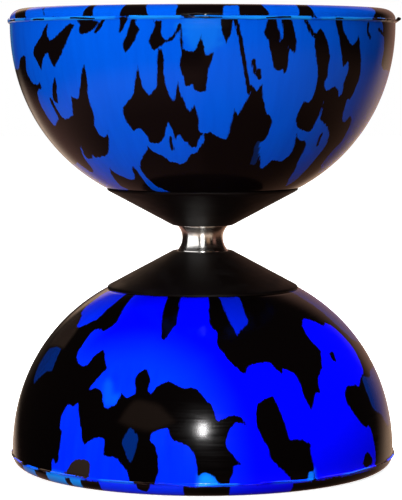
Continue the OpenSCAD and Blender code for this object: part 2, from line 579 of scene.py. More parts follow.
@dataclass(frozen=True)
class TurnedSteel:
    """Turned and polished steel: tool rings round the axis draw its highlights out along the axis."""

    name: str
    bright: Colour = (0.80, 0.78, 0.75)
    dull: Colour = (0.55, 0.53, 0.50)
    roughness: tuple[float, float] = (0.16, 0.28)

    def build(self) -> Material:
        """Makes the material."""
        sheet = Finish(self.name)
        place = sheet.position()
        rings = sheet.noise(sheet.stretched(place, (40.0, 40.0, 5200.0)), 1.0, detail=3.0)
        haze = sheet.noise(place, 420.0, detail=3.0)
        colour = sheet.mix(sheet.ramp(haze, 0.45, 0.75, top=0.7), self.bright, self.dull)
        return sheet.surface(
            Base_Color=colour,
            Metallic=1.0,
            Roughness=sheet.remap(rings, (0.3, 0.7), self.roughness),
            Anisotropic=0.85,
            Anisotropic_Rotation=0.25,
            Tangent=sheet.around_axis(),
            Normal=sheet.bump(rings, 0.000012, 0.35),
        )


@dataclass(frozen=True)
class ZincPlate:
    """Zinc-plated steel with a faint yellow and blue passivation bloom."""

    name: str
    zinc: Colour = (0.60, 0.61, 0.61)
    bloom: Colour = (0.55, 0.52, 0.42)
    cool: Colour = (0.46, 0.50, 0.58)
    roughness: tuple[float, float] = (0.22, 0.42)

    def build(self) -> Material:
        """Makes the material."""
        sheet = Finish(self.name)
        place = sheet.position()
        cloud = sheet.noise(place, 260.0, detail=3.0)
        spots = sheet.noise(place, 900.0, detail=4.0)
        colour = sheet.mix(sheet.ramp(cloud, 0.40, 0.62), self.zinc, self.bloom)
        colour = sheet.mix(sheet.ramp(cloud, 0.60, 0.75, top=0.8), colour, self.cool)
        return sheet.surface(
            Base_Color=colour,
            Metallic=1.0,
            Roughness=sheet.remap(spots, (0.3, 0.7), self.roughness),
            Normal=sheet.bump(spots, 0.00002, 0.30),
        )


# ---------------------------------------------------------------------------------------------------------
# Marbling
# ---------------------------------------------------------------------------------------------------------


class Batch(Enum):
    """What a patch of the marbled rubber is made of, or what light is painted on it."""

    BLUE = "blue"
    BLACK = "black"
    FILMED = "filmed"
    # A painted highlight or painted reflection, in lighter blue.
    PALE = "pale"
    # Painted shade: a deeper, less green blue where less light falls.
    DEEP = "deep"
    # A reflection of the brown table, painted on the black.
    SCUFFED = "scuffed"


@dataclass(frozen=True)
class Patch:
    """One drawn patch of a rubber batch, or of light painted on the rubber.

    Each point is an azimuth in degrees and a height in millimetres, measured along the side of the cup from
    its parting line to the neck. Heights below 0 are on the rounded lip. A patch with a width is a line. Some
    patches are light painted on the rubber: a painted highlight or reflection in lighter blue, painted shade
    in deeper blue, or a painted reflection of the brown table on the black. The strength is how much a film,
    a painted highlight or the painted reflection of the table shows.
    """

    batch: Batch
    points: tuple[Point, ...]
    width: float = 0.0
    strength: float = 1.0


def lip_stripes(*limits: Point) -> tuple[Patch, ...]:
    """Blue stripes straight across the lip, each from a left to a right azimuth."""
    low, high = -7, -0.8
    return tuple(
        Patch(Batch.BLUE, ((left, low), (left, high), (right, high), (right, low))) for left, right in limits
    )


def tab_with_sheen(*points: Point) -> tuple[Patch, Patch]:
    """A blue tab with a highlight painted over it in lighter blue."""
    return Patch(Batch.BLUE, points), Patch(Batch.PALE, points)


UPPER_PATCHES = (
    # Left edge: a broad field with two tongues that reach towards the neck
    Patch(Batch.BLUE, (
        (-106, -1), (-106, 12), (-76, 12.5), (-70, 10), (-66, 8.7), (-64, 9), (-65.5, 13.5), (-63, 16.2),
        (-60, 16.6), (-58, 15.8), (-57.8, 17.8), (-62, 18.8), (-63, 23), (-61.5, 27.5), (-59.7, 28.8),
        (-56, 26.8), (-54.7, 26), (-55.5, 20.5), (-54, 19.8), (-53, 24.5), (-51.5, 26.2), (-49, 26),
        (-46, 25), (-44.7, 22), (-44, 19.3), (-42.2, 20.3), (-40.5, 19.8), (-39, 17), (-37, 12.5),
        (-35.7, 11), (-36, 16), (-36.7, 20), (-36.7, 25), (-38, 28), (-37.5, 31), (-36, 31.8), (-34, 31),
        (-32.7, 29), (-30, 31), (-29, -1),
    )),
    # Left of the middle: a patch that runs down to the neck
    Patch(Batch.BLUE, (
        (-31, 20), (-31, 29), (-32.7, 29), (-34, 32), (-36.5, 35.5), (-39, 38), (-42, 38.3), (-45, 38.8),
        (-46.6, 39.2), (-47.4, 38.2), (-49, 39.5), (-52, 39.7), (-52.5, 38.2), (-50.5, 35), (-52.5, 36.8),
        (-54.5, 39.5), (-56, 43), (-58, 45), (-62, 45.5), (-64, 43), (-66, 41.5), (-72, 42.5), (-106, 43),
        (-106, 54.4), (-50, 54.4), (-49, 52), (-48, 49), (-46, 46), (-44, 44), (-41.3, 41), (-42.8, 43.3),
        (-41.5, 45.5), (-38.5, 47.3), (-36.5, 48), (-34, 47.8), (-32.5, 46), (-31.5, 44), (-29.7, 41.2),
        (-29.3, 43), (-29.2, 51), (-28, 53.5), (-26, 54.6), (-19, 54.6), (-22, 52.5), (-24.5, 51), (-26, 48),
        (-27, 44), (-26.5, 42), (-25, 40), (-22, 37), (-20, 34.5), (-25, 27), (-25, 20),
    )),
    # Low middle patch with a notched upper edge
    Patch(Batch.BLUE, (
        (-27, 28.5), (-24, 28.8), (-23.3, 29.6), (-21, 28.7), (-19, 31), (-18.6, 33), (-17, 33.4),
        (-14.8, 33.2), (-13.5, 32), (-12.3, 29), (-10.8, 26.7), (-9.5, 31), (-9.3, 33.2), (-8.8, 31.5),
        (-7.8, 30.5), (-6.3, 32.8), (-5.2, 33), (-4, 35), (-3.2, 34.5), (-2.5, 35), (-1, 32), (-0.3, 30.5),
        (0.4, 31), (0.2, 33), (-2.5, 36.5), (-4.2, 37.2), (-5, 38.5), (-7, 40.2), (-9, 40.8), (-10.5, 40),
        (-13, 39.8), (-15, 38), (-18.7, 36), (-20, 34.5), (-24, 38), (-28, 36),
    )),
    # The row of tongues that hangs from the rim
    Patch(Batch.BLUE, (
        (-31, -1), (-31, 25), (-26.5, 29), (-26.3, 25), (-26.6, 22), (-25.5, 23), (-22.5, 20.5), (-21, 19),
        (-20, 16), (-18.2, 11), (-18.2, 14), (-17.5, 17.5), (-16, 19.3), (-14, 17.5), (-13.2, 16),
        (-12.8, 9), (-12, 7.3), (-11.3, 8), (-10.8, 16), (-10, 19), (-9, 21.1), (-8.3, 20.5), (-7.2, 15.3),
        (-5.8, 20.5), (-4, 24.3), (-2.5, 21.9), (-1.5, 25), (-1.2, 29.5), (1, 30.2), (2.8, 29.8),
        (4, 30.8), (7.2, 32.2), (8, 31.5), (8.8, 29), (9.6, 22.7), (11, 24.7), (12, 23), (12.5, 21.5),
        (14, 18.8), (13, 15), (14.3, 16.5), (16, 18.2), (17.6, 16), (17.8, 18.5), (19, 22.5), (20.3, 24.7),
        (21.5, 25), (22.6, 27), (22, 32), (20.5, 33.3), (21, 36.5), (22.6, 39), (24.5, 42.5), (26, 42.5),
        (27.8, 39.9), (31, 39.8), (32.5, 40), (34.3, 38.5), (35, 36), (33.5, 31), (33, 30), (35.5, 32.6),
        (38, 33), (39.5, 34), (40.8, 36), (41.5, 40), (43.5, 44), (46, 48), (49, 51), (50, 52), (52, 50),
        (52, 47), (51.2, 43), (50.8, 39), (51.5, 36), (51, 34), (49, 31), (46, 28.7), (41, 26.3),
        (40.5, 24), (40, 21), (39.5, 28), (39, 30), (36, 29.8), (32.3, 28.3), (31.2, 26), (31.5, 23),
        (32, 21), (34, 21.3), (35.2, 19), (35.5, 16), (35, 13), (33.5, 8), (33, 4), (34.5, 2), (36.5, 4),
        (38.8, 9), (38.6, 12), (39, 14.5), (38.3, 16), (40, 18), (43, 17), (46, 19.8), (47, 19),
        (46.5, 16.5), (47.5, 13), (46.6, 10), (44.8, 12), (42.7, 7), (41.2, 3), (40.4, 0.5), (40.4, -1),
    )),
    # Right edge
    Patch(Batch.BLUE, (
        (43, -1), (43.2, 2), (46.7, 5.8), (48.5, 6), (50, 3.5), (52, 8), (53.5, 13), (53.5, 16),
        (52.3, 20.8), (50.7, 20.5), (50.5, 22), (51.5, 25), (53, 27), (54.5, 27.5), (56.2, 25), (59, 27.5),
        (60.5, 32), (60.8, 34), (59.5, 36), (59, 39), (60.5, 42), (64, 44), (70, 46), (106, 48), (106, 13),
        (69.5, 12.5), (67, 7), (65, 3), (62, -1),
    )),
    # Black strokes that lie over the blue, from left to right
    Patch(Batch.BLACK, (
        (-49.5, 0.8), (-51.5, 2.2), (-54, 4.5), (-57.5, 6.8), (-58.3, 8.5), (-56.5, 11), (-55.5, 13.2),
        (-53.5, 10), (-50.5, 8), (-49.2, 11), (-48.3, 12), (-44, 8.2), (-40.5, 3.5), (-38.2, 1),
        (-40.5, 0.8), (-43, 2), (-46, 3.8), (-48.8, 5), (-50, 3.5),
    )),
    Patch(Batch.BLACK, (
        (-38, 0), (-36.5, 1), (-37, 3), (-36, 3.7), (-34, 3.2), (-31.5, 2), (-30, 0.3), (-35, -0.5),
    )),
    Patch(Batch.BLACK, (
        (-48.8, 14.3), (-50, 15.2), (-53.2, 20), (-52.5, 21.3), (-51, 21.6), (-49.2, 17),
    )),
    Patch(Batch.BLACK, ((-23.3, -0.5), (-23.4, 1.5), (-23.9, 3.2), (-22.6, 2.4), (-20.8, -0.5))),
    Patch(Batch.BLACK, (
        (-19.8, -0.5), (-20.8, 2), (-22.8, 6), (-21.8, 8.3), (-20.6, 7), (-17.4, 2.2), (-18.6, 1),
        (-18.3, -0.5),
    )),
    Patch(Batch.BLACK, (
        (-13.8, 0.2), (-13.2, 1.5), (-14.8, 5), (-14.3, 7), (-13.2, 7.8), (-10.8, 6.2), (-9.5, 5.4),
        (-11, 4.5), (-11.6, 3), (-11.2, 0.2),
    )),
    Patch(Batch.BLACK, (
        (-5.8, 1), (-6.3, 5), (-6, 8), (-6.3, 11), (-5.2, 16.2), (-4, 16.8), (-3, 16.3), (-2.2, 18),
        (-0.5, 18.6), (0.8, 18.2), (1.2, 16), (2, 11), (3.3, 7.8), (0.8, 9.2), (-0.3, 3.2), (-1.5, 7),
        (-2.8, 8), (-5.2, 6.8),
    )),
    Patch(Batch.BLACK, ((4.6, -0.5), (5, 2), (6.3, 6.2), (7.6, 3.5), (8.5, -0.5))),
    Patch(Batch.BLACK, (
        (18.2, -0.5), (17.1, 3), (18.4, 5), (19.3, 8.5), (20.5, 12.3), (21.8, 12.8), (23.2, 12.5),
        (23.8, 13.8), (24.8, 12.5), (24.4, 6.5), (26.5, 8.6), (26.9, 5), (25, -0.5), (22, -0.3),
        (22.7, 4.5), (21.8, 5.5), (20.5, -0.5),
    )),
    Patch(Batch.BLACK, ((9.0, 0), (10.8, 7), (12.6, 14), (13.5, 18.5)), 1.1),
    Patch(Batch.BLACK, ((14.3, 10.3), (15.2, 13), (16.6, 14.6), (16.2, 12.6)), 1.1),
    Patch(Batch.BLACK, ((-28.5, 0), (-31, 2.8)), 1.0),
    Patch(Batch.BLACK, ((29.8, 0), (32, 3.2), (34.5, 5)), 1.1),
    Patch(Batch.BLACK, ((55, 0.5), (54.6, 2.6), (56.2, 4.2)), 1.1),
    Patch(Batch.BLACK, ((61.5, 1.8), (63, 2.3), (64.8, 3.4)), 1.0),
    Patch(Batch.BLACK, ((45, 31), (45.6, 33), (46.2, 34.4)), 1.0),
    Patch(Batch.BLACK, ((-10.9, 31.5), (-11.1, 33.5), (-10.8, 35.4)), 0.9),
    # The lip, blue but for the strokes that cross it
    Patch(Batch.BLUE, ((-106, -0.9), (106, -0.9), (106, -7.5), (-106, -7.5))),
    Patch(Batch.BLACK, ((-70, -0.8), (-61.5, -0.8), (-64, -3.5), (-66, -7), (-80, -7), (-75, -3.5))),
    Patch(Batch.BLACK, ((-54, -4.2), (-51, -1.5)), 0.5),
    Patch(Batch.BLACK, ((-35.5, -0.8), (-31.8, -0.8), (-32.5, -4), (-32.8, -7), (-35, -7))),
    Patch(Batch.BLACK, ((-23.5, -0.8), (-15, -0.8), (-16, -3.5), (-15.8, -7), (-22.5, -7), (-23, -4))),
    Patch(Batch.BLACK, ((-7.5, -0.8), (5.5, -0.8), (5.8, -4.2), (9.8, -4.4), (10.2, -0.8), (18.5, -0.8),
                        (17.5, -4), (17, -7), (-6, -7), (-7, -4))),
    Patch(Batch.BLACK, ((27.5, -0.8), (33, -0.8), (32, -4), (31.5, -7), (28.4, -7))),
    Patch(Batch.BLACK, ((57, -0.8), (61, -3.5), (64, -7), (106, -7), (106, -0.8))),
    # Dull film, and a painted highlight at the middle of the rim, drawn as a lighter blue smear with streaks
    Patch(Batch.FILMED, ((19, 33), (22, 33), (21.5, 41), (19, 41))),
    Patch(Batch.PALE, ((-5.5, -1), (-4, 6), (0, 9), (4, 6), (5.5, -1)), strength=0.22),
    Patch(Batch.PALE, ((-7, 1.6), (1, 2.0), (6, 1.5)), 0.5, strength=0.45),
    Patch(Batch.PALE, ((-5, 3.6), (0, 4.0), (5, 3.7)), 0.4, strength=0.40),
    Patch(Batch.PALE, ((-1, 6.0), (3, 6.2), (5, 5.8)), 0.4, strength=0.35),
    # Painted sheen: lighter blue along the left edge, where light from the left falls
    Patch(Batch.PALE, ((-106, 0), (-106, 14), (-82, 13), (-77, 9), (-76, 0)), strength=0.8),
    Patch(Batch.BLACK, ((-9.5, 5.2), (-8, 4.2), (-6.2, 1.4)), 0.9),
)

LOWER_PATCHES = (
    # Left, beside the neck
    Patch(Batch.BLUE, (
        (-72, 54.6), (-50.5, 54.6), (-50.7, 50), (-51.7, 46), (-52, 42.8), (-54, 42.4), (-58.5, 40.1),
        (-60.5, 39.6), (-62.3, 40), (-64, 41.8), (-66.5, 43.5), (-70, 44.2), (-73, 46.5), (-73.5, 50),
    )),
    # The large field, from the neck down to the rim on the right
    Patch(Batch.BLUE, (
        (-43.5, 54.6), (-42.5, 52), (-41.8, 49), (-39.5, 44), (-39.6, 42.5), (-41, 41), (-43, 39.5),
        (-45, 40), (-48, 40), (-49.3, 38.5), (-49.8, 33), (-49.3, 31), (-46.5, 29), (-43, 28.8), (-40.8, 32),
        (-38.8, 33.8), (-37.3, 33.3), (-35, 30.5), (-33.2, 28.5), (-35, 27), (-37.3, 23.8), (-38, 22.3),
        (-35.5, 23), (-33, 22.2), (-31.5, 19.5), (-30, 18), (-28, 18.8), (-26.8, 19.5), (-25.6, 22.5),
        (-23.8, 21.3), (-21.2, 22.5), (-22, 26), (-21, 28.5), (-18.7, 29.3), (-16.8, 26), (-17, 23.2),
        (-15.6, 22.6), (-14, 24.5), (-11, 26.2), (-8, 24.9), (-6, 24.4), (-3, 24.6), (-0.5, 22.8),
        (2.8, 19.5), (3.7, 16.2), (4.8, 15.8), (7.5, 17), (9.5, 17.1), (11.1, 16.5), (12.3, 15.5),
        (12.9, 13.8), (11.4, 14.7), (9.8, 15.2), (8.6, 14.6), (7.5, 13), (6.4, 10.2), (7, 8.8),
        (8.7, 6.8), (10.9, 4.3), (8.6, 4.4), (8.1, 2), (7.4, 0.6), (7.6, -1), (60.5, -1), (61.2, 3.5), (59, 10.1),
        (57, 10.3), (53.5, 12.3), (50, 17), (50, 20.5), (52.5, 22), (55.5, 21.8), (57, 22), (58.8, 21.3),
        (62, 23.3), (66.5, 24.5), (68, 27), (69.5, 31), (69, 33.5), (66, 39), (62, 41.1), (58.5, 40.3),
        (55, 42.2), (50, 43.5), (45.5, 41.8), (44.3, 38), (45, 36), (47, 32.8), (45, 30.5), (43.5, 28),
        (40.3, 25.3), (39.4, 21.6), (37.3, 21.5), (35.5, 19), (34.2, 16.6), (33, 20), (32, 25.5),
        (31.2, 27.4), (27.8, 29), (26.6, 27.3), (25, 29), (24, 30.3), (22.5, 30.9), (15.5, 30.4),
        (14, 27.7), (12, 29), (8, 33.3), (5.3, 36.5), (5.8, 40.3), (4.3, 42), (3, 44), (2.7, 46), (3, 54.6),
    )),
    # Two towers that stand on the rim
    Patch(Batch.BLUE, (
        (-49, -1), (-48.7, 2), (-47.9, 3.6), (-47.3, 2), (-46.5, 2.2), (-45.8, 4.5), (-45.5, 10.5),
        (-46.5, 11.5), (-46.8, 15), (-45, 17.8), (-42.5, 17.4), (-41, 18.6), (-39.5, 15.5), (-38.5, 13),
        (-36, 8), (-34.5, 9.2), (-31, 10.3), (-29.5, 9.5), (-29.2, 6), (-26, 5.8), (-24.5, 5.2), (-22, 2.5),
        (-20.5, -1),
    )),
    Patch(Batch.BLUE, (
        (-13.5, -1), (-13, 1.5), (-12.3, 3), (-13.3, 8.8), (-15, 10.5), (-14.8, 12), (-13.5, 13),
        (-9.8, 13.5), (-8.8, 11), (-4.8, 9.8), (-2.3, 7.3), (-1.5, 2.8), (-1.3, -1),
    )),
    # Black that lies over the blue
    Patch(Batch.BLACK, (
        (-44, 0), (-42, 1), (-41, 2.5), (-39, 3.8), (-36, 4.2), (-34.3, 3.8), (-33.5, 2.5), (-34.5, -0.5),
    )),
    Patch(Batch.BLACK, (
        (-21, 55.5), (-20, 53), (-19, 48), (-16.8, 41), (-16, 38.8), (-14.5, 38), (-12.2, 42.3),
        (-11.2, 44), (-12, 50), (-12.4, 55.5),
    )),
    Patch(Batch.BLACK, (
        (18.5, 20.8), (16.5, 19.5), (15.6, 15), (17, 11.5), (19, 8), (19.5, 5.5), (22, 3.4), (25.5, 0.5),
        (26, -1), (33.7, -1), (32.3, 7), (32.6, 8.3), (30, 9.8), (27, 10.2), (25.5, 10.5), (24.2, 16),
        (21.8, 22),
    )),
    Patch(Batch.BLACK, (
        (53.3, 1.1), (53.8, 2.2), (54.8, 3.3), (56, 3.8), (57.8, 3), (59.2, 1.5), (58.4, 0.3), (56.2, -0.1),
        (54.2, 0.3),
    )),
    Patch(Batch.BLACK, (
        (51.2, 32.1), (53.4, 32.1), (53, 31), (52.4, 30), (52.4, 28.9), (50.8, 29.5), (50.2, 30.7),
    )),
    # The lip
    *lip_stripes((-67, -58), (-51.5, -43), (-41, -37.5), (-30.5, -5.5)),
    Patch(Batch.BLACK, ((-19, -0.5), (-18.6, -1.8), (-17.6, -2.8), (-16, -3.0), (-15, -2.2), (-14.6, -0.5))),
    Patch(Batch.BLUE, ((7.5, -7), (7.5, -0.8), (26, -0.8), (26.5, -7))),
    Patch(Batch.FILMED, ((68, -0.5), (68.5, -2.6), (72, -3.4), (77, -0.5))),
    # Dull film between the towers, beside the neck and at both edges
    Patch(Batch.FILMED, (
        (-72, 30.7), (-69, 31.8), (-62, 32.3), (-60.3, 29), (-59.3, 25.6), (-63, 25.1), (-66.2, 23.2),
        (-69, 20.8), (-71, 22.5), (-72.5, 26),
    )),
    Patch(Batch.FILMED, (
        (-21.3, 13.8), (-23.5, 10), (-23.2, 8.5), (-20.4, 4.4), (-19.8, 6), (-18.6, 10.5), (-19.5, 12.2),
    )),
    Patch(Batch.FILMED, (
        (9.5, 54.6), (11.5, 45), (13.6, 39.5), (15, 41), (17, 42), (19.8, 44.2), (20, 47), (21.5, 54.6),
    ), strength=0.55),
    Patch(Batch.FILMED, (
        (63.3, 22.8), (66, 23.6), (71, 22.8), (76, 24.4), (106, 24), (106, 7), (78, 8), (74, 9), (70, 12),
        (65, 14.2), (63, 17),
    )),
    Patch(Batch.FILMED, (
        (63.5, 54.6), (66.5, 51), (69, 45.5), (70.5, 40.5), (73, 36), (78, 33), (106, 30), (106, 54.6),
    )),
    # Painted shade: where less light falls, on the right and towards the neck, the blue is drawn deeper and less
    # green
    Patch(Batch.DEEP, (
        (8, -12), (110, -12), (110, 66), (-49, 66), (-49, 36), (-40, 33), (-20, 35), (-4, 29), (5, 14),
    )),
    # Painted reflection of the brown table on the black: under the left tower, beside the left edge and left of
    # the middle
    Patch(Batch.SCUFFED, (
        (-45, 0), (-42.5, 1.5), (-41, 3.4), (-38, 4.8), (-34, 4.6), (-32.6, 2.5), (-33.5, -0.5),
    )),
    Patch(Batch.SCUFFED, (
        (-60, 39), (-59.5, 36), (-60, 32.8), (-66, 32.6), (-74, 32), (-75, 38), (-71, 43.6), (-66, 43),
    ), strength=0.75),
    Patch(
        Batch.SCUFFED, ((-25, 15), (-21, 20.5), (-13, 19.5), (-8, 15.5), (-11, 14), (-17, 13)), strength=0.25
    ),
    # Painted highlights: tabs along the flash drawn in lighter blue
    *tab_with_sheen((-1.2, -0.4), (-1, 2), (0.5, 2.7), (2, 2.4), (3.5, 1.3), (4.6, -0.4)),
    *tab_with_sheen((31, -0.4), (31.2, 1.3), (32.8, 1.4), (33.2, -0.4)),
    # Painted highlight: lighter blue streaks beside the left tower; and a painted reflection of the bright table
    # on the left end of the lip
    Patch(Batch.PALE, (
        (-33, 24.2), (-31.8, 25.8), (-29.8, 24.6), (-28.4, 22), (-26.5, 22), (-26, 20.4), (-27, 19),
        (-30.3, 18.6), (-31.7, 20.2),
    ), strength=0.18),
    Patch(Batch.PALE, ((-67, -7), (-67, -0.8), (-37.5, -0.8), (-35.5, -7))),
)


def curve_through(points: tuple[Point, ...], closed: bool, rounds: int = 2) -> Array:
    """Smooth curve through points, which stays pointed where the outline turns sharply.

    Each round puts a new point between two neighbours b and c, with a and d outside them, at
    (b + c) / 2 + (b - a) / 20 + (c - d) / 20. The second term is left out where b is a sharp tip, and the
    third where c is one.

    Args:
        points: Points to pass through.
        closed: Whether the last point joins the first.
        rounds: How often the number of points doubles.

    Returns:
        The points of the curve.
    """
    curve = np.array(points, float)
    for _ in range(rounds):
        after = np.roll(curve, -1, axis=0)
        if not closed:
            after[-1] = curve[-1]
        before = np.roll(curve, 1, axis=0)
        if not closed:
            before[0] = curve[0]
        incoming, outgoing = curve - before, after - curve
        lengths = np.hypot(*incoming.T) * np.hypot(*outgoing.T) + 1e-9
        gentle = ((incoming * outgoing).sum(axis=1) / lengths > 0.3)[:, None]
        lead = np.where(gentle, incoming, 0)
        trail = np.roll(np.where(gentle, -outgoing, 0), -1, axis=0)
        if not closed:
            trail[-1] = 0
        middle = (curve + after) / 2 + (lead + trail) / 20
        curve = np.stack([curve, middle], axis=1).reshape(-1, 2)
        if not closed:
            curve = curve[:-1]
    return curve


class Marbling:
    """Where a cup is blue, worked out on its grid of azimuths and heights along the side."""

    REACH = 2.5
    """Distance in millimetres beyond which it no longer matters how far away an edge is."""

    WIDE = 9.0
    # The same for a patch of painted shade in a deeper hue, which fades in over twice this distance.
    """The same for a patch of deeper hue, which fades in over twice this distance."""

    SOFT = 1.2
    # Distance on either side of its edge over which a painted highlight fades in.
    """Distance on either side of its edge over which a pale batch fades in."""

    def __init__(self, azimuth: Array, along: Array, radius: Array, seed: int) -> None:
        """Keeps the grid, with a small seeded wobble that makes drawn edges look pressed, not cut.

        Args:
            azimuth: Azimuths of the columns, in degrees from -180 to 180.
            along: Heights of the rows along the side, in millimetres.
            radius: Radius at each row, in millimetres.
            seed: Seed of the wobble.
        """
        self.azimuth, self.along = np.meshgrid(azimuth, along)
        self.scale = np.broadcast_to(np.radians(radius)[:, None], self.azimuth.shape)
        sway = ripple(self.azimuth, self.along, seed, (8, 40), 6.0)
        lift = ripple(self.azimuth, self.along, seed + 1, (10, 46), 7.0)
        self.x = self.azimuth + 0.10 * sway / self.scale
        self.y = self.along + 0.12 * lift

    def depth(self, patch: Patch, reach: float = REACH) -> Array:
        """Distance into a patch in millimetres, and below 0 outside it.

        The nearest point of each edge is found in millimetres about each grid point, and a point is inside
        if an odd number of edges cross the line from it along the azimuth.

        Args:
            patch: The patch.
            reach: Distance beyond which it no longer matters how far away an edge is.

        Returns:
            The distance, kept within reach, on the whole grid.
        """
        line_width = patch.width
        closed = line_width == 0
        outline = curve_through(patch.points, closed)
        (left, low), (right, high) = outline.min(axis=0), outline.max(axis=0)
        margin = reach + line_width
        near = (self.y > low - margin) & (self.y < high + margin)
        near &= (self.x > left - margin / self.scale) & (self.x < right + margin / self.scale)
        x, y, scale = self.x[near], self.y[near], self.scale[near]
        nearest = np.full(x.shape, np.inf)
        inside = np.zeros(x.shape, bool)
        following = np.roll(outline, -1, axis=0)
        edges = zip(outline, following) if closed else zip(outline[:-1], outline[1:])
        for (ax, ay), (bx, by) in edges:
            px, py = (ax - x) * scale, ay - y
            ex, ey = (bx - ax) * scale, by - ay
            share = np.clip(-(px * ex + py * ey) / (ex * ex + ey * ey + 1e-9), 0, 1)
            nearest = np.minimum(nearest, (px + share * ex) ** 2 + (py + share * ey) ** 2)
            if closed:
                spans = (ay > y) != (by > y)
                inside ^= spans & (x < ax + (y - ay) * (bx - ax) / (by - ay + 1e-12))
        distance = np.sqrt(nearest)
        signed = np.where(inside, distance, -distance) if closed else line_width / 2 - distance
        result = np.full(self.x.shape, -reach)
        result[near] = np.clip(signed, -reach, reach)
        return result

    def drawn(self, patches: tuple[Patch, ...]) -> Array:
        """Lays the patches over each other in order.

        Args:
            patches: The patches, the lowest first.

        Returns:
            Distance into the blue, tone from -1 (filmed) to 1 (painted highlight in lighter blue), and the shares
            of painted shade in a deeper hue and of a painted reflection of the brown table, each from 0 to 1.
        """
        blue = np.full(self.x.shape, -self.REACH)
        tone = np.zeros(self.x.shape)
        deep = np.zeros(self.x.shape)
        table_reflection = np.zeros(self.x.shape)
        for patch in patches:
            if patch.batch is Batch.DEEP:
                # Painted shade: a deeper, less green blue that fades in over a wide distance.
                wide = self.depth(patch, self.WIDE)
                deep = np.maximum(deep, smoothstep(-self.WIDE, self.WIDE, wide))
                continue
            depth = self.depth(patch)
            if patch.batch is Batch.BLUE:
                blue = np.maximum(blue, depth)
            elif patch.batch is Batch.BLACK:
                blue = np.minimum(blue, -depth)
            elif patch.batch is Batch.FILMED:
                filmed = np.minimum(tone, -patch.strength * smoothstep(-1.0, -0.3, depth))
                tone = np.where(blue < 0, filmed, tone)
                blue = np.maximum(blue, depth)
            elif patch.batch is Batch.SCUFFED:
                # Painted reflection of the brown table on the black.
                table_reflection = np.maximum(table_reflection, patch.strength * smoothstep(-1.0, 1.0, depth))
            else:
                # Painted highlight or reflection in lighter blue.
                sheen_share = patch.strength * smoothstep(-self.SOFT, self.SOFT, depth)
                tone = np.where(depth > -self.SOFT, np.maximum(tone, sheen_share), tone)
        return np.stack([blue, tone, deep, table_reflection])

    def clouds(self, seed: int) -> Array:
        """Generated marbling for the inside.

        The distance into the blue is 2.2 * (coarse + 0.55 * fine + 0.15), where coarse and fine are waves
        that make large and small blobs.
        """
        coarse = ripple(self.azimuth, self.along, seed, (3, 11), 26.0, 10)
        fine = ripple(self.azimuth, self.along, seed + 1, (8, 26), 11.0, 10)
        return np.clip(2.2 * (coarse + 0.55 * fine + 0.15), -self.REACH, self.REACH)


# ---------------------------------------------------------------------------------------------------------
# Profiles
# ---------------------------------------------------------------------------------------------------------


def rounded(corners: tuple[tuple[float, float, float], ...], steps: int = 4, gap: float = 1.5) -> Array:
    """Closed profile through corners that are each rounded off.

    A corner P becomes the curve (1 - t)^2 A + 2 t (1 - t) P + t^2 B, where A and B lie on its two edges, one
    rounding away from P. Straight stretches longer than the gap get points between.

    Args:
        corners: Radius, height and rounding of each corner, in order round the section.
        steps: Intervals in each rounding.
        gap: Longest straight interval, in millimetres.

    Returns:
        The points of the profile, without a repeat of the first.
    """
    place = np.array([corner[:2] for corner in corners], float)
    t = np.linspace(0, 1, steps + 1)[:, None]
    bends = []
    for (_, _, size), here, before, after in zip(
        corners, place, np.roll(place, 1, axis=0), np.roll(place, -1, axis=0)
    ):
        back, ahead = before - here, after - here
        start = here + back / np.hypot(*back) * min(size, 0.49 * np.hypot(*back))
        end = here + ahead / np.hypot(*ahead) * min(size, 0.49 * np.hypot(*ahead))
        bend = (1 - t) ** 2 * start + 2 * t * (1 - t) * here + t**2 * end
        bends.append(bend if size > 0 else here[None])
    parts = []
    for bend, following in zip(bends, bends[1:] + bends[:1]):
        count = max(1, math.ceil(np.hypot(*(following[0] - bend[-1])) / gap))
        parts += [bend, line(bend[-1], following[0], count)[1:-1]]
    return np.vstack(parts)


def revolve(profile: Array, segments: int, across_flats: float = 0.0, hexed: Array | None = None) -> Array:
    """Turns a profile round the axis, and cuts the rows that are hexagonal down to their flats.

    Args:
        profile: Radius and height of each row.
        segments: Number of columns, a multiple of 12 where there is a hexagon.
        across_flats: Size of the hexagon.
        hexed: Which rows the hexagon cuts.

    Returns:
        The grid of points.
    """
    azimuth = around(segments)
    radius = np.repeat(profile[:, :1], segments, axis=1)
    if hexed is not None:
        radius = np.where(hexed[:, None], np.minimum(radius, hexagon(azimuth, across_flats)), radius)
    return cylinder_points(radius, azimuth[None, :], profile[:, 1:])


def distance_from_ribs(radius: Array, azimuth: Array, ribs: int, first: float = 0.0) -> Array:
    """Distance in millimetres from the middle plane of the nearest of evenly spaced ribs.

    Args:
        radius: Radius of each row, as a column.
        azimuth: Azimuth of each column, as a row.
        ribs: Number of ribs.
        first: Azimuth of the first rib.

    Returns:
        The distance on the grid of rows and columns.
    """
    pitch = 360 / ribs
    off = np.abs(np.mod(azimuth - first + pitch / 2, pitch) - pitch / 2)
    return radius * np.radians(off)


# ---------------------------------------------------------------------------------------------------------
# The parts of the diabolo
# ---------------------------------------------------------------------------------------------------------


def dress(piece: Piece, node: str, material: Material) -> Piece:
    """Gives a piece its finish, lets it stand for its CAD node and reports it."""
    piece.data.materials.append(material)
    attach(piece, BODY)
    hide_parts(node)
    log.info("%s: %d faces, %s", piece.name, len(piece.data.polygons), material.name)
    return piece


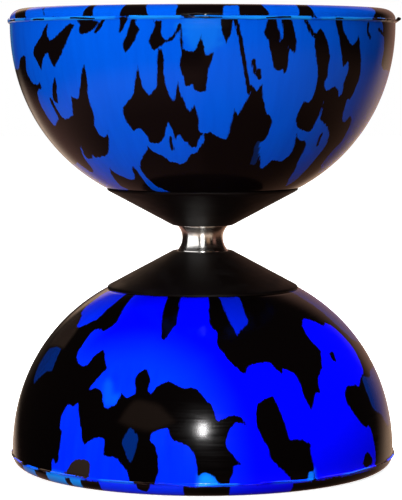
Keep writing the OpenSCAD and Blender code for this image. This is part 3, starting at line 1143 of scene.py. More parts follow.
@dataclass
class Half:
    """What all the pieces of one half share: its side and the levels it is built to."""

    side: Side
    levels: Levels

    def placed(self, points: Array) -> Array:
        """Leaves lower-half points alone, and turns them over for the upper half."""
        return points if self.side is Side.LOWER else turned_over(points, self.levels.overall)

    def make(
        self,
        what: str,
        points: Array,
        slot: str,
        material: Material,
        loop_rows: bool = True,
        crease: float = 32,
    ) -> Piece:
        """Builds a piece of this half from lower-half points.

        Args:
            what: The CAD node's name without its side.
            points: Grid of points in the lower half.
            slot: Material slot of the record; not used.
            material: The finish.
            loop_rows: Whether the last row joins the first.
            crease: Angle above which an edge is sharp.

        Returns:
            The dressed piece.
        """
        node = f"{self.side.value}_{what}"
        piece = mesh_from_grid(f"{node}_visual", self.placed(points), loop_rows, crease=crease)
        return dress(piece, node, material)


class FlashWave(Enum):
    """Waves along the flash: what each adds to the seed, and its fewest and most waves in a turn."""

    REACH = (3, (2, 9))
    FRAY = (5, (30, 90))
    NICKS = (6, (20, 70))
    SAG = (7, (4, 26))
    THICKNESS = (8, (12, 60))
    BREAKS = (9, (6, 40))
    # Waves of the highlight painted along the flash.
    PALENESS = (10, (3, 24))
    SPLITS = (12, (5, 22))


@dataclass(frozen=True)
class Flash:
    """The thin fin that the mould left at a cup's parting line, trimmed by hand but for a nub.

    Heights are above the parting line. The blue is how far the waves are raised, so that fewer breaks show.
    """

    seed: int
    proud: float = 0.6
    half: float = 0.50
    drop: float = 0.6
    blue: float = 0.75
    # How strongly a highlight is painted along the flash in lighter blue.
    pale: float = 1.0
    nub_at: float = 86.0
    nub_w: float = 1.6
    nub_size: float = 1.0
    lump_w: float = 7.0

    def section(self, rim_r: float) -> Array:
        """The section of the untrimmed fin, from its lower edge to its upper one."""
        out = np.array([0.45, 0.85, 1.0, 1.0, 0.85, 0.45])
        rise = np.array([-0.85, -0.6, -0.3, 0.3, 0.6, 0.85])
        return np.column_stack([rim_r + self.proud * out, self.half * rise - self.drop])

    def waves(self, azimuth: Array, wave: FlashWave) -> Array:
        """One of the flash's waves, at each azimuth."""
        step, turns = wave.value
        return ripple(azimuth, 0, self.seed + step, turns, wavelength=10.0)

    def bell(self, azimuth: Array, middle: float, width: float) -> Array:
        """A bell as high as the nub's size: exp(-((azimuth - middle) / width)^2) times that size."""
        return self.nub_size * np.exp(-(((azimuth - middle) / width) ** 2))

    def nub(self, azimuth: Array) -> Array:
        """The nub that was left standing, from 0 to its size."""
        return self.bell(azimuth, self.nub_at, self.nub_w)

    def reach(self, azimuth: Array) -> Array:
        """How far the flash stands out, as a share of its full reach.

        Slow and quick waves about 0.78 are kept between 0.35 and 1.1. Nicks take up to 0.7 of that away, and
        1.7 times the nub is added.
        """
        slow, quick = self.waves(azimuth, FlashWave.REACH), self.waves(azimuth, FlashWave.FRAY)
        waved = 0.78 + 0.16 * slow + 0.07 * quick
        nicks = smoothstep(1.5, 2.4, self.waves(azimuth, FlashWave.NICKS))
        return np.clip(waved, 0.35, 1.1) * (1 - 0.7 * nicks) + 1.7 * self.nub(azimuth)

    def bent(self, azimuth: Array, height: Array) -> Array:
        """Heights of the fin's rows round the cup, where its thickness and its sag are uneven.

        The thickness is about 0.85 of the full one, and more at the nub and at a lump on the other side. The
        nub droops by 0.7 mm.
        """
        nub, lump = self.nub(azimuth), self.bell(azimuth, -self.nub_at, self.lump_w)
        swell = 0.85 + 0.15 * self.waves(azimuth, FlashWave.THICKNESS) + 0.5 * nub + 0.6 * lump
        sag = 0.15 * self.waves(azimuth, FlashWave.SAG) - 0.7 * nub
        return (height + self.drop) * swell - self.drop + sag

    def coloured(self, azimuth: Array, along: Array, blue: Array, tone: Array) -> tuple[Array, Array]:
        """Lays the colour of the flash over the marbling.

        The flash is blue between its breaks, and a highlight is painted on it in lighter blue in places. If it
        has a nub, black splits it here and there along its middle, and it is black from about 20 degrees before
        the nub to well past it.

        Args:
            azimuth: Azimuths of the columns.
            along: Heights of the rows along the side.
            blue: Distance into the blue on the grid.
            tone: Tone on the grid.

        Returns:
            The distance into the blue and the tone, with the flash.
        """
        off_middle = np.abs(along + self.drop)[:, None]
        on_flash, core = off_middle < self.half, off_middle < 0.4 * self.half
        unbroken = smoothstep(-0.5, 0.2, self.waves(azimuth, FlashWave.BREAKS) + self.blue)
        sheen = 0.5 + 0.5 * smoothstep(-0.8, 1.6, self.waves(azimuth, FlashWave.PALENESS))
        split = self.nub_size * smoothstep(0.2, 0.6, self.waves(azimuth, FlashWave.SPLITS))
        by_nub = smoothstep(self.nub_at - 24, self.nub_at - 16, azimuth) * smoothstep(150, 130, azimuth)
        blue = np.where(on_flash, np.maximum(blue, 4 * unbroken - 2), blue)
        # Painted highlight: lighter blue along the flash.
        tone = np.where(on_flash, np.maximum(tone, self.pale * unbroken * sheen), tone)
        return blue - 4 * split * core - 5 * self.nub_size * by_nub * on_flash, tone


@dataclass
class Cup(Half):
    """A rubber cup: bowl, rounded lip, and the flash at its parting line."""

    patches: tuple[Patch, ...]
    far_patches: tuple[Patch, ...]
    flash: Flash
    lip_h: float = 4.0
    lip_w: float = 3.8
    wall: float = 3.8
    outer_power: float = 2.07
    neck_r: float = 26.4
    neck_round: float = 0.45
    floor_t: float = 5.2
    floor_r: float = 24.5
    hole_r: float = 8.15
    bead_step: float = 2.6
    bead_low: float = 1.5
    bead_high: float = 9.0
    mouth_round: float = 1.4
    columns: int = 560

    SIDES = (82.0, 98.0)
    """Azimuths between which the front drawing passes into the back one."""

    MOUTH = (5.5, 8.0)
    """Distances past the parting line between which the drawing passes into the inside's marbling."""

    UNROLLED_R = 40.0
    """Radius of the cylinder that stands for the unrolled surface, in millimetres."""

    LAND_STEP = 0.5
    """What the land between the lip and the mouth adds to the distance along the side."""

    @property
    def rim_r(self) -> float:
        """Radius at the parting line, without the flash."""
        return self.levels.flash_r - self.flash.proud

    @property
    def cup_h(self) -> float:
        """Height from the parting line to the seat of the cone."""
        return self.levels.seat - self.lip_h

    def outside(self) -> tuple[Array, Array]:
        """Lip, flash and side, from the land that the rim stands on up to the neck.

        Returns:
            The points above the parting line, and the height of each along the side.
        """
        flash = self.flash
        lip_top = -flash.drop - flash.half
        lip = arc((self.rim_r - self.lip_w, lip_top), (self.lip_w, self.lip_h + lip_top), -90, 0, 12)
        lip_along = lip_top - self.length_from_end(lip)
        fin = flash.section(self.rim_r)
        band = line((self.rim_r, flash.half - flash.drop), (self.rim_r, 0), 1)[:-1]
        side = superellipse(self.rim_r, self.neck_r, self.cup_h, self.outer_power, 100)
        side_along = np.concatenate([[0], np.cumsum(np.hypot(*np.diff(side, axis=0).T))])
        keep = side_along < side_along[-1] - self.neck_round
        neck = np.array([[self.neck_r - 0.08, self.cup_h - 0.1], [self.neck_r - self.neck_round, self.cup_h]])
        points = np.vstack([lip, fin, band, side[keep], neck])
        neck_along = side_along[-1] + np.array([0, 0.4])
        along = np.concatenate([lip_along, fin[:, 1], band[:, 1], side_along[keep], neck_along])
        return points, along

    @staticmethod
    def length_from_end(points: Array) -> Array:
        """Distance of each point from the last one, along the curve."""
        steps = np.hypot(*np.diff(points, axis=0).T)
        return np.concatenate([np.cumsum(steps[::-1])[::-1], [0]])

    def inside(self) -> Array:
        """Neck hole, floor, inner side with its bead, and the rounded mouth, from the seat to the land.

        The bead stands in from the wall by bead_step up to bead_low, and fades out along half a cosine wave
        up to bead_high.

        Returns:
            The points above the parting line.
        """
        floor_h = self.cup_h - self.floor_t
        seat = line((self.neck_r - 3, self.cup_h), (self.hole_r, self.cup_h), 4)
        floor = line((self.hole_r, floor_h), (self.floor_r - 1.5, floor_h), 5)
        wall = superellipse(self.rim_r - self.wall, self.floor_r, floor_h, self.outer_power, 34)[::-1]
        share = np.clip((wall[:, 1] - self.bead_low) / (self.bead_high - self.bead_low), 0, 1)
        wall[:, 0] -= self.bead_step * (0.5 + 0.5 * np.cos(math.pi * share))
        lip_r = self.rim_r - self.wall - self.bead_step + self.mouth_round
        mouth = arc((lip_r, self.mouth_round - self.lip_h), (self.mouth_round,) * 2, 180, 270, 5)
        return join(seat, floor, wall[1:], mouth)

    def build(self, material: Material) -> Piece:
        """Builds the cup with its marbling attributes.

        The upper cup is the lower one mirrored, not turned over, so that its drawing keeps its azimuths.

        Returns:
            The dressed cup.
        """
        azimuth = around(self.columns)
        azimuth = np.where(azimuth > 180, azimuth - 360, azimuth)
        outer, outer_along = self.outside()
        inner = self.inside()
        profile = np.vstack([outer, inner])
        to_land = self.length_from_end(np.vstack([inner, outer[:1]]))[:-1]
        along = np.concatenate([outer_along, outer_along[0] - self.LAND_STEP - to_land])
        radius = np.repeat(profile[:, :1], self.columns, axis=1)
        height = np.repeat(profile[:, 1:], self.columns, axis=1)
        fin = profile[:, 0] > self.rim_r + 1e-6
        radius[fin] = self.rim_r + (radius[fin] - self.rim_r) * self.flash.reach(azimuth)
        height[fin] = self.flash.bent(azimuth, height[fin])
        points = cylinder_points(radius, azimuth[None, :], height + self.lip_h)
        if self.side is Side.UPPER:
            points[..., 2] = self.levels.overall - points[..., 2]
        node = f"{self.side.value}_cup"
        piece = mesh_from_grid(f"{node}_visual", points, loop_rows=True, crease=60)
        marbling = self.marble(azimuth, along, profile[:, 0])
        # The tone holds painted highlights. The third layer holds painted shade, and the fourth holds a painted
        # reflection of the table.
        for name, values in zip(("marble", "tone", "deep", "table_reflection"), marbling):
            self.write(piece, name, values)
        unrolled_r = np.array([[self.UNROLLED_R]])
        self.write(piece, "unrolled", cylinder_points(unrolled_r, azimuth[None, :], along[:, None]))
        return dress(piece, node, material)

    def marble(self, azimuth: Array, along: Array, radius: Array) -> tuple[Array, ...]:
        """Marbling of the whole cup.

        The front is drawn. The back is the other cup's drawing seen from behind, and the two fade into each
        other at the sides. The inside is generated, and the flash has its own colour.

        Args:
            azimuth: Azimuths of the columns.
            along: Heights of the rows along the side.
            radius: Radius of each row.

        Returns:
            Distance into the blue in millimetres, tone with its painted highlights, and the shares of painted
            shade in a deeper hue and of a painted reflection of the brown table, on the grid.
        """
        seed, far_seed, inner_seed = self.flash.seed + np.array([0, 20, 30])
        near = Marbling(azimuth, along, radius, seed)
        beyond = np.where(azimuth > 0, 180 - azimuth, -180 - azimuth)
        far = Marbling(beyond, along, radius, far_seed)
        front, back = near.drawn(self.patches), far.drawn(self.far_patches)
        blue, tone, deep, table_reflection = front + (back - front) * smoothstep(*self.SIDES, np.abs(azimuth))
        inward = smoothstep(*self.MOUTH, -along)[:, None]
        blue = blue + (near.clouds(inner_seed) - blue) * inward
        blue, tone = self.flash.coloured(azimuth, along, blue, tone * (1 - inward))
        return blue, tone, deep, table_reflection

    @staticmethod
    def write(piece: Piece, name: str, values: Array) -> None:
        """Stores one number or one place per vertex, from a grid of either."""
        kind, key = ("FLOAT", "value") if values.ndim == 2 else ("FLOAT_VECTOR", "vector")
        layer = piece.data.attributes.new(name, kind, "POINT")
        layer.data.foreach_set(key, np.ascontiguousarray(values, np.float32).ravel())


@dataclass
class Cone(Half):
    """A moulded cone with its spigot, and the hexagonal pocket that keys the axle."""

    edge: float = 0.6
    tip_r: float = 8.2
    spigot_r: float = 8.0
    bolt_hole_r: float = 3.3
    flange_t: float = 1.0
    flange_gap: float = 0.05
    key_flats: float = 10.1
    key_l: float = 7.2
    wall: float = 2.2
    rib_t: float = 1.6
    ribs: int = 8
    columns: int = 288

    def profile(self) -> Array:
        """Section of the cone, from the bottom edge up the outside and down its pocket and bolt hole."""
        up = self.levels
        pocket_top = up.tip - self.flange_t
        pocket_low = pocket_top - self.key_l
        flange_r = up.flange_r + self.flange_gap
        key_r = self.key_flats / math.sqrt(3)
        return rounded((
            (up.cone_r, up.seat, 0.15), (up.cone_r, up.seat + self.edge, 0.5), (self.tip_r, up.tip, 0.35),
            (flange_r, up.tip, 0.12), (flange_r, pocket_top, 0.1), (key_r, pocket_top, 0.0),
            (key_r, pocket_low, 0.0), (self.bolt_hole_r, pocket_low, 0.1),
            (self.bolt_hole_r, up.spigot_low, 0.3), (self.spigot_r, up.spigot_low, 0.5),
            (self.spigot_r, up.seat, 0.0),
        ))

    def build(self, material: Material) -> Piece:
        """Builds the cone.

        The underside is cored: between the ribs it rises to one wall's thickness under the sloping outside,
        and it stays at the seat on the ribs, on the outer wall and on the spigot.

        Returns:
            The dressed cone.
        """
        up = self.levels
        outside = self.profile()
        under_r = np.linspace(self.spigot_r, up.cone_r, 44)[1:-1]
        azimuth = around(self.columns)
        grid = revolve(outside, self.columns, self.key_flats, self.in_pocket(outside))
        sideways = distance_from_ribs(under_r[:, None], azimuth[None, :], self.ribs)
        off_rib = smoothstep(self.rib_t / 2, self.rib_t / 2 + 0.4, sideways)
        slope = (up.tip - up.seat - self.edge) / (up.cone_r - self.tip_r)
        roof = (up.cone_r - self.wall - under_r) * slope
        rise = np.clip(np.minimum(roof, up.tip - up.seat - self.wall - 0.4), 0, None)
        clear = smoothstep(self.spigot_r + 0.2, self.spigot_r + 0.8, under_r)
        height = up.seat + (rise * clear)[:, None] * off_rib
        under = cylinder_points(under_r[:, None], azimuth[None, :], height)
        return self.make("cone", np.concatenate([grid, under]), "cone_plastic", material)

    def in_pocket(self, profile: Array) -> Array:
        """Which rows the hexagonal pocket holds."""
        pocket_top = self.levels.tip - self.flange_t
        low, high = pocket_top - self.key_l - 0.01, pocket_top + 0.01
        between = (profile[:, 1] > low) & (profile[:, 1] < high)
        return between & (profile[:, 0] > self.key_flats / 2) & (profile[:, 0] < self.levels.flange_r - 0.5)


@dataclass
class Axle:
    """The fixed axle: a waisted spool with flanges, hexagonal ends and a threaded bore."""

    levels: Levels
    waist_r: float = 5.6
    groove_w: float = 7.0
    arc_short: float = 3.0
    flange_t: float = 1.0
    flats: float = 10.0
    chamfer: float = 0.5
    thread_r: float = 3.06
    thread_depth: float = 0.58
    pitch: float = 1.0
    columns: int = 192

    def spool(self) -> Array:
        """Upper flange, waist and lower flange.

        The waist is an arc as deep as the flanges are proud, and stops arc_short degrees short of each.
        """
        half = self.groove_w / 2
        depth = self.levels.flange_r - self.waist_r
        groove_r = (depth**2 + half**2) / (2 * depth)
        swing = math.degrees(math.asin(half / groove_r)) - self.arc_short
        middle = self.levels.middle
        waist = arc((self.waist_r + groove_r, middle), (groove_r, groove_r), 180 - swing, 180 + swing, 28)
        flange_r = self.levels.flange_r
        above = np.array([
            [flange_r - 0.1, middle + half + self.flange_t], [flange_r, middle + half + self.flange_t - 0.1],
            [flange_r, middle + half + 0.1], [flange_r - 0.15, middle + half - 0.05],
        ])
        below = above[::-1] * np.array([1, -1]) + np.array([0, 2 * middle])
        return join(above, waist, below)

    def build(self, material: Material) -> Piece:
        """Builds the axle as one closed surface, down the outside and back up the bore.

        Returns:
            The dressed axle.
        """
        low = self.levels.axle_end
        high = self.levels.overall - low
        corner_r = self.flats / math.sqrt(3)
        mouth = self.thread_r + 0.15
        chamfer_h = self.chamfer * 0.6
        top = np.array([[mouth, high], [corner_r - self.chamfer, high], [corner_r, high - chamfer_h]])
        spool = self.spool()
        upper_neck = np.array([[corner_r, spool[0, 1]]])
        lower_neck = np.array([[corner_r, spool[-1, 1]]])
        bottom = top[::-1] * np.array([1, -1]) + np.array([0, 2 * self.levels.middle])
        outside = np.vstack([top, upper_neck, spool, lower_neck, bottom])
        hexed = np.abs(outside[:, 1] - self.levels.middle) > self.groove_w / 2 + self.flange_t - 0.01
        hexed &= outside[:, 0] < corner_r + 0.01
        grid = revolve(outside, self.columns, self.flats, hexed)
        azimuth = around(self.columns)[None, :]
        height = np.linspace(low + 0.1, high - 0.1, 230)[:, None]
        cut = thread(azimuth, height, self.pitch, self.thread_depth)
        bore = cylinder_points(self.thread_r - cut, azimuth, height)
        piece = mesh_from_grid("axle_visual", np.concatenate([grid, bore]), loop_rows=True, crease=28)
        return dress(piece, "axle", material)


@dataclass
class ClampDish(Half):
    """The ribbed plastic dish that presses the cup's floor against the cone."""

    plate: float = 3.0
    boss_r: float = 11.6
    recess_r: float = 9.2
    spigot_r: float = 8.15
    bolt_hole_r: float = 3.3
    rib_t: float = 1.6
    rib_in: float = 3.0
    ribs: int = 8
    columns: int = 288

    def build(self, material: Material) -> Piece:
        """Builds the dish.

        The open face between the boss and the rim is a height over radius and azimuth: the plate's level
        between the ribs, and on a rib a straight slope from just under the boss down to the plate.

        Returns:
            The dressed dish.
        """
        up = self.levels
        plate_low = up.dish_top - self.plate
        spigot_low = up.spigot_low - 0.3
        azimuth = around(self.columns)
        inner = rounded((
            (self.boss_r + 0.5, plate_low, 0.3), (self.boss_r, up.boss, 0.6), (self.recess_r, up.boss, 0.25),
            (self.recess_r, up.washer_seat, 0.0), (self.bolt_hole_r, up.washer_seat, 0.15),
            (self.bolt_hole_r, spigot_low, 0.1), (self.spigot_r, spigot_low, 0.1),
            (self.spigot_r, up.dish_top, 0.3), (up.dish_r, up.dish_top, 0.2),
        ), gap=2.5)
        core = inner[4:]  # from the end of the first rounding, where the open face stops
        rim = arc((up.dish_r - self.plate, up.dish_top), (self.plate, self.plate), 0, -90, 10)[1:]
        face_r = np.linspace(up.dish_r - self.plate, self.boss_r + 0.3, 26)[1:]
        rib_end = up.dish_r - self.rib_in
        share = np.clip((rib_end - face_r) / (rib_end - self.boss_r + 1), 0, 1)
        rib_low = plate_low + (up.boss + 0.9 - plate_low) * share
        half_pitch = 180 / self.ribs
        sideways = distance_from_ribs(face_r[:, None], azimuth[None, :], self.ribs, half_pitch)
        on_rib = 1 - smoothstep(self.rib_t / 2 - 0.05, self.rib_t / 2 + 0.3, sideways)
        height = plate_low + (rib_low - plate_low)[:, None] * on_rib
        face = cylinder_points(face_r[:, None], azimuth[None, :], height)
        grid = np.concatenate([revolve(join(core, rim), self.columns), face])
        return self.make("clamp_dish", grid, "dish_plastic", material)


@dataclass
class Fastening(Half):
    """Bolt, spring washer and flat washer of one half."""

    thread_r: float = 2.98
    thread_depth: float = 0.55
    thread_l: float = 18.0
    pitch: float = 1.0
    shank_r: float = 2.95
    tip_r: float = 1.95
    tip_h: float = 1.0
    head_flat_r: float = 4.7
    head_chamfer_h: float = 0.62
    hole_gap: float = 0.2
    flats: float = 10.0
    spring_turn: float = 354.0
    spring_lean: float = 25.0

    def build(self, zinc: Material, spring: Material) -> None:
        """Builds the three pieces."""
        self.flat_washer(zinc)
        self.spring_washer(spring)
        self.bolt(zinc)

    def flat_washer(self, material: Material) -> Piece:
        """Builds the flat washer, its edges rounded by uneven amounts, as stamping leaves them."""
        up = self.levels
        hole_r = self.thread_r + self.hole_gap
        section = rounded((
            (hole_r, up.spring_seat, 0.15), (up.washer_r, up.spring_seat, 0.45),
            (up.washer_r, up.washer_seat, 0.12), (hole_r, up.washer_seat, 0.3),
        ))
        grid = revolve(section, 144)
        return self.make("flat_washer", grid, "washer_zinc", material)

    def spring_washer(self, material: Material) -> Piece:
        """Builds the split spring washer, pressed flat.

        The section is carried round from one side of the slot to the other, and each section is sheared
        along the turn by its height, so that both ends lean.

        Returns:
            The dressed washer.
        """
        up = self.levels
        hole_r = self.thread_r + 0.12
        section = rounded((
            (hole_r, up.head, 0.2), (up.spring_r, up.head, 0.25),
            (up.spring_r, up.spring_seat, 0.25), (hole_r, up.spring_seat, 0.2),
        ), gap=0.8)
        turn = np.linspace(90 + (360 - self.spring_turn) / 2, 450 - (360 - self.spring_turn) / 2, 120)
        middle = (up.head + up.spring_seat) / 2
        lean = (section[:, 1] - middle) * math.tan(math.radians(self.spring_lean))
        azimuth = turn[:, None] - np.degrees(lean / section[:, 0])[None, :]
        grid = cylinder_points(section[None, :, 0], azimuth, section[None, :, 1])
        return self.make("spring_washer", grid, "spring_steel", material, loop_rows=False, crease=30)

    def bolt(self, material: Material) -> Piece:
        """Builds the hexagon bolt: chamfered head, plain shank and helical thread with a bevelled tip."""
        up = self.levels
        corner_r = self.flats / math.sqrt(3)
        chamfer_top = (corner_r, up.head_low + self.head_chamfer_h)
        chamfer = line((self.head_flat_r, up.head_low), chamfer_top, 6)
        face = line((0.6, up.head_low), (self.head_flat_r - 0.1, up.head_low), 3)
        side = line((corner_r, up.head_low + 0.8), (corner_r, up.head - 0.15), 3)
        collar = np.array([[corner_r - 0.2, up.head], [self.shank_r + 0.25, up.head]])
        thread_low = up.bolt_top - self.thread_l
        shank = line((self.shank_r, up.head + 0.25), (self.shank_r, thread_low - 0.5), 3)
        outside = join(face, chamfer, side, collar, shank)
        hexed = outside[:, 1] < up.head + 0.01
        grid = revolve(outside, 96, self.flats, hexed)
        azimuth = around(96)[None, :]
        height = np.linspace(thread_low, up.bolt_top - 0.02, 190)[:, None]
        start = smoothstep(thread_low, thread_low + 1.0, height)
        tip = np.clip((up.bolt_top - height) / self.tip_h, 0, 1)
        cut = thread(azimuth, height, self.pitch, self.thread_depth) * start
        radius = np.minimum(self.thread_r - cut, self.tip_r + (self.thread_r - self.tip_r) * tip)
        grid = np.concatenate([grid, cylinder_points(radius, azimuth, height)])
        return self.make("bolt", grid, "bolt_zinc", material, loop_rows=False, crease=28)


# ---------------------------------------------------------------------------------------------------------
# Studio
# ---------------------------------------------------------------------------------------------------------


@dataclass(frozen=True)
class SoftLight:
    """A rectangular area light that points at the middle of the diabolo."""

    name: str
    azimuth: float
    elevation: float
    distance: float
    size: tuple[float, float]
    power: float
    mirrored: bool = False
    diffuse: bool = True
    only_on: tuple[str, ...] = ()
    tint: Colour = (1.0, 1.0, 1.0)

    def build(self, target: Vector) -> None:
        """Hangs the light."""
        data = bpy.data.lights.new(self.name, "AREA")
        data.shape = "RECTANGLE"
        data.size, data.size_y = self.size
        data.energy = self.power
        data.color = self.tint
        data.cycles.use_multiple_importance_sampling = self.mirrored
        lamp = bpy.data.objects.new(self.name, data)
        a, e = math.radians(self.azimuth), math.radians(self.elevation)
        away = Vector((math.sin(a) * math.cos(e), -math.cos(a) * math.cos(e), math.sin(e)))
        lamp.location = target + away * self.distance
        lamp.rotation_mode = "QUATERNION"
        lamp.rotation_quaternion = away.to_track_quat("Z", "Y")
        lamp.visible_glossy = self.mirrored
        lamp.visible_diffuse = self.diffuse
        lamp.visible_camera = False
        bpy.context.scene.collection.objects.link(lamp)
        if self.only_on:
            lit = bpy.data.collections.new(f"lit_by_{self.name}")
            for name in self.only_on:
                lit.objects.link(bpy.data.objects[name])
            lamp.light_linking.receiver_collection = lit


def axle_light(
    name: str, azimuth: float, elevation: float, size: Point, power: float, tint: Colour = (1.0, 1.0, 1.0)
) -> SoftLight:
    """A light that only the axle mirrors and that shines on nothing else."""
    return SoftLight(
        name, azimuth, elevation, 0.6, size, power, mirrored=True, only_on=("axle_visual",), tint=tint
    )


class Surroundings(NodeSheet):
    """The world: white to the eye, and in reflections a dark room with a table, a wall, a board and a shelf.

    Directions are the turn from straight behind, in radians and to the right, and up, the upward part of the
    direction. A thing begins to show at the first limit of each ramp and shows in full at the second.
    """

    ROOM: Colour = (0.012, 0.008, 0.007)
    TABLE_LEFT: Colour = (0.30, 0.155, 0.125)
    TABLE_RIGHT: Colour = (0.17, 0.085, 0.055)
    SHADOW: Colour = (0.0, 0.0, 0.0)
    WALL_HIGH: Colour = (0.38, 0.21, 0.16)
    WALL_LOW: Colour = (0.68, 0.45, 0.31)
    BOARD: Colour = (0.90, 0.66, 0.50)
    SHELF: Colour = (1.0, 0.68, 0.48)
    WHITE: Colour = (1.0, 1.0, 1.0)

    def __init__(self) -> None:
        """Starts the world and works out the directions."""
        self.world = bpy.data.worlds.new("studio")
        self.world.use_nodes = True
        super().__init__(self.world.node_tree)
        axes = self.tree.nodes.new("ShaderNodeSeparateXYZ")
        self.link(self.tree.nodes.new("ShaderNodeTexCoord").outputs["Generated"], axes.inputs["Vector"])
        right, back, self.up = (axes.outputs[name] for name in "XYZ")
        self.turn = self.maths("ARCTAN2", right, back)
        self.above_table = self.ramp(self.up, -0.42, -0.20)

    def table(self, seen: object) -> Socket:
        """A brown table, darker at the right and far below, whose far edge lies lower at the left."""
        lowered = self.maths("ADD", self.up, self.ramp(self.turn, -0.55, -1.0, top=0.22))
        top = self.mix(self.ramp(self.turn, -0.2, 0.3), self.TABLE_LEFT, self.TABLE_RIGHT)
        top = self.mix(self.ramp(self.up, -0.50, -0.78, top=0.65), top, self.SHADOW)
        return self.mix(self.ramp(lowered, -0.12, -0.28), seen, top)

    def wall(self, seen: object) -> Socket:
        """A brown wall at the right, lighter below, whose right edge slants."""
        slanted = self.maths("MULTIPLY_ADD", self.up, 0.45, self.turn)
        across = self.product(self.ramp(slanted, 0.84, 0.54), self.ramp(self.turn, -0.12, 0.0))
        shows = self.product(across, self.ramp(self.up, 0.68, 0.54), self.above_table)
        paint = self.mix(self.ramp(self.up, -0.02, -0.12), self.WALL_HIGH, self.WALL_LOW)
        return self.mix(shows, seen, paint)

    def board(self, seen: object) -> Socket:
        """A cream board at the left, of which a faint haze shows above."""
        across = self.product(self.ramp(self.turn, -0.56, -0.34), self.ramp(self.turn, 0.0, -0.12))
        upwards = self.remap(self.up, (-0.07, -0.16), (0.05, 1.0))
        return self.mix(self.product(across, upwards, self.above_table), seen, self.BOARD)

    def shelf(self, seen: object) -> Socket:
        """A lit shelf at the left, above the board."""
        across = self.product(self.ramp(self.turn, -0.35, -0.27), self.ramp(self.turn, 0.0, -0.10))
        upwards = self.product(self.ramp(self.up, 0.08, 0.18), self.ramp(self.up, 0.48, 0.40))
        return self.mix(self.product(across, upwards), seen, self.SHELF)

    def build(self) -> None:
        """Lays the things over the dark room in order, and makes the result the scene's world."""
        seen = self.ROOM
        for thing in (self.table, self.wall, self.board, self.shelf):
            seen = thing(seen)
        to_eye = self.tree.nodes.new("ShaderNodeLightPath").outputs["Is Camera Ray"]
        background = self.tree.nodes.new("ShaderNodeBackground")
        self.link(self.mix(to_eye, seen, self.WHITE), background.inputs["Color"])
        output = self.tree.nodes.new("ShaderNodeOutputWorld")
        self.link(background.outputs["Background"], output.inputs["Surface"])
        bpy.context.scene.world = self.world


@dataclass
class Studio:
    """Camera, pale floor, surroundings and lights."""

    levels: Levels
    lens: float = 159.3
    distance: float = 0.6092
    elevation: float = 4.652
    aim: tuple[float, float, float] = (-0.00044, 0.0, 0.05906)
    lights: tuple[SoftLight, ...] = field(default_factory=lambda: (
        SoftLight("key", 0.0, 15.5, 0.9, (0.060, 0.095), 2.2, mirrored=True, diffuse=False),
        SoftLight("left_front", -20.0, 10.0, 1.1, (0.5, 0.5), 12.0),
        SoftLight("ceiling", 0.0, 80.0, 1.2, (0.9, 0.9), 7.0),
        SoftLight("table_lamp", 38.0, 76.0, 1.1, (0.7, 0.7), 20.0, only_on=("lower_cup_visual", "floor")),
        SoftLight("right_back", 135.0, 25.0, 1.4, (0.8, 0.6), 7.0),
        SoftLight("left_back", -142.0, 25.0, 1.4, (0.8, 0.6), 6.0),
        axle_light("window", -58.0, 13.0, (0.80, 0.80), 4.5),
        axle_light("slit", -1.0, 5.0, (0.20, 0.90), 1.8),
        axle_light("table_top", 0.0, -31.0, (1.6, 0.30), 0.9, tint=(1.0, 0.84, 0.68)),
        axle_light("cupboard", 32.0, 5.0, (0.20, 0.30), 0.07, tint=(1.0, 0.60, 0.35)),
        axle_light("door", 70.0, 5.0, (0.20, 0.30), 0.04, tint=(1.0, 0.50, 0.40)),
    ))
    floor_half: float = 3.0
    glow_r: float = 0.07

    def build(self) -> None:
        """Sets up everything round the diabolo."""
        bpy.context.scene.view_settings.view_transform = "Standard"
        self.camera()
        self.floor()
        Surroundings().build()
        for light in self.lights:
            light.build(Vector((0, 0, self.levels.middle * MM)))
        log.info("studio: %d lights", len(self.lights))

    def camera(self) -> None:
        """Places the camera a little above the middle, looking slightly down."""
        data = bpy.data.cameras.new("camera")
        data.lens = self.lens
        data.sensor_width = 36.0
        camera = bpy.data.objects.new("camera", data)
        e = math.radians(self.elevation)
        back = Vector((0, -math.cos(e), math.sin(e)))
        camera.location = Vector(self.aim) + back * self.distance
        camera.rotation_mode = "QUATERNION"
        camera.rotation_quaternion = back.to_track_quat("Z", "Y")
        bpy.context.scene.collection.objects.link(camera)
        bpy.context.scene.camera = camera

    def floor(self) -> None:
        """Lays the pale square floor, which glows but for the middle; reflections look past it."""
        mesh = bpy.data.meshes.new("floor")
        half = self.floor_half
        corners = [(-half, -half, 0), (half, -half, 0), (half, half, 0), (-half, half, 0)]
        mesh.from_pydata(corners, [], [(0, 1, 2, 3)])
        floor = bpy.data.objects.new("floor", mesh)
        floor.visible_glossy = False
        floor.visible_diffuse = False
        floor.visible_shadow = False
        sheet = Finish("pale_floor")
        place = sheet.position()
        mottle = sheet.noise(place, 40.0, detail=4.0)
        colour = sheet.mix(mottle, (0.80, 0.80, 0.80), (0.86, 0.86, 0.86))
        radius = sheet.tree.nodes.new("ShaderNodeVectorMath")
        radius.operation = "LENGTH"
        sheet.link(place, radius.inputs[0])
        glow = sheet.remap(radius.outputs["Value"], (0.0, self.glow_r), (0.50, 1.0))
        mesh.materials.append(sheet.surface(
            Base_Color=colour, Roughness=0.8, Emission_Color=(1.0, 1.0, 1.0), Emission_Strength=glow
        ))
        bpy.context.scene.collection.objects.link(floor)
        floor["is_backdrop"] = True


# ---------------------------------------------------------------------------------------------------------
# Assembly
# ---------------------------------------------------------------------------------------------------------


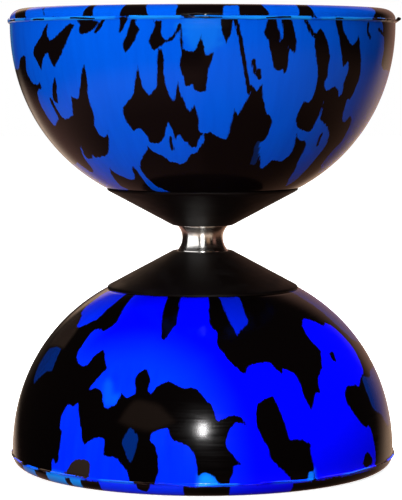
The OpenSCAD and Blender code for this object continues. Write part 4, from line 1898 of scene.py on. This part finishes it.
@dataclass
class Diabolo:
    """The whole diabolo."""

    levels: Levels
    plastic: MouldedPlastic = MouldedPlastic("satin_black_plastic")
    dish_plastic: MouldedPlastic = MouldedPlastic("ribbed_dish_plastic", roughness=(0.42, 0.60), grain=1500.0)
    steel: TurnedSteel = TurnedSteel("turned_steel")
    zinc: ZincPlate = ZincPlate("zinc_plate")
    spring: ZincPlate = ZincPlate(
        "spring_zinc", zinc=(0.42, 0.42, 0.43), bloom=(0.40, 0.37, 0.31), roughness=(0.30, 0.50)
    )
    # Each cup's pale colour is the lighter blue of its painted highlights and reflections.
    upper_rubber: MarbledRubber = MarbledRubber(
        "marbled_rubber_upper",
        blue=(0.0, 0.110, 0.82), deep=(0.0, 0.075, 0.68), filmed=(0.003, 0.020, 0.11),
        pale=(0.012, 0.33, 0.94), black=(0.0036, 0.0019, 0.0021),
    )
    # The lower cup's deep blue is the painted shade of its less lit right side.
    lower_rubber: MarbledRubber = MarbledRubber(
        "marbled_rubber_lower",
        blue=(0.0, 0.026, 0.98), deep=(0.0, 0.0008, 0.98), filmed=(0.0005, 0.015, 0.13),
        pale=(0.004, 0.26, 0.90),
    )

    def build(self) -> None:
        """Builds every piece. The lower cup isn't mirrored in the others, so the upper one stays black."""
        zinc, spring = self.zinc.build(), self.spring.build()
        plastic, dish = self.plastic.build(), self.dish_plastic.build()
        Axle(self.levels).build(self.steel.build())
        for side in Side:
            Cone(side, self.levels).build(plastic)
            ClampDish(side, self.levels).build(dish)
            Fastening(side, self.levels).build(zinc, spring)
        lower = Cup(
            Side.LOWER, self.levels, LOWER_PATCHES, UPPER_PATCHES,
            Flash(seed=11, half=0.24, drop=0.45, blue=-0.2, pale=0.5, nub_size=0.0),
        )
        lower.build(self.lower_rubber.build()).visible_glossy = False
        upper = Cup(Side.UPPER, self.levels, UPPER_PATCHES, LOWER_PATCHES, Flash(seed=47))
        upper.build(self.upper_rubber.build())


def main() -> None:
    """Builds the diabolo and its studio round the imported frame."""
    logging.basicConfig(level=logging.INFO, format="%(name)s: %(message)s")
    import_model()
    levels = Levels.from_frame()
    Diabolo(levels).build()
    Studio(levels).build()


if __name__ == "__main__":
    main()
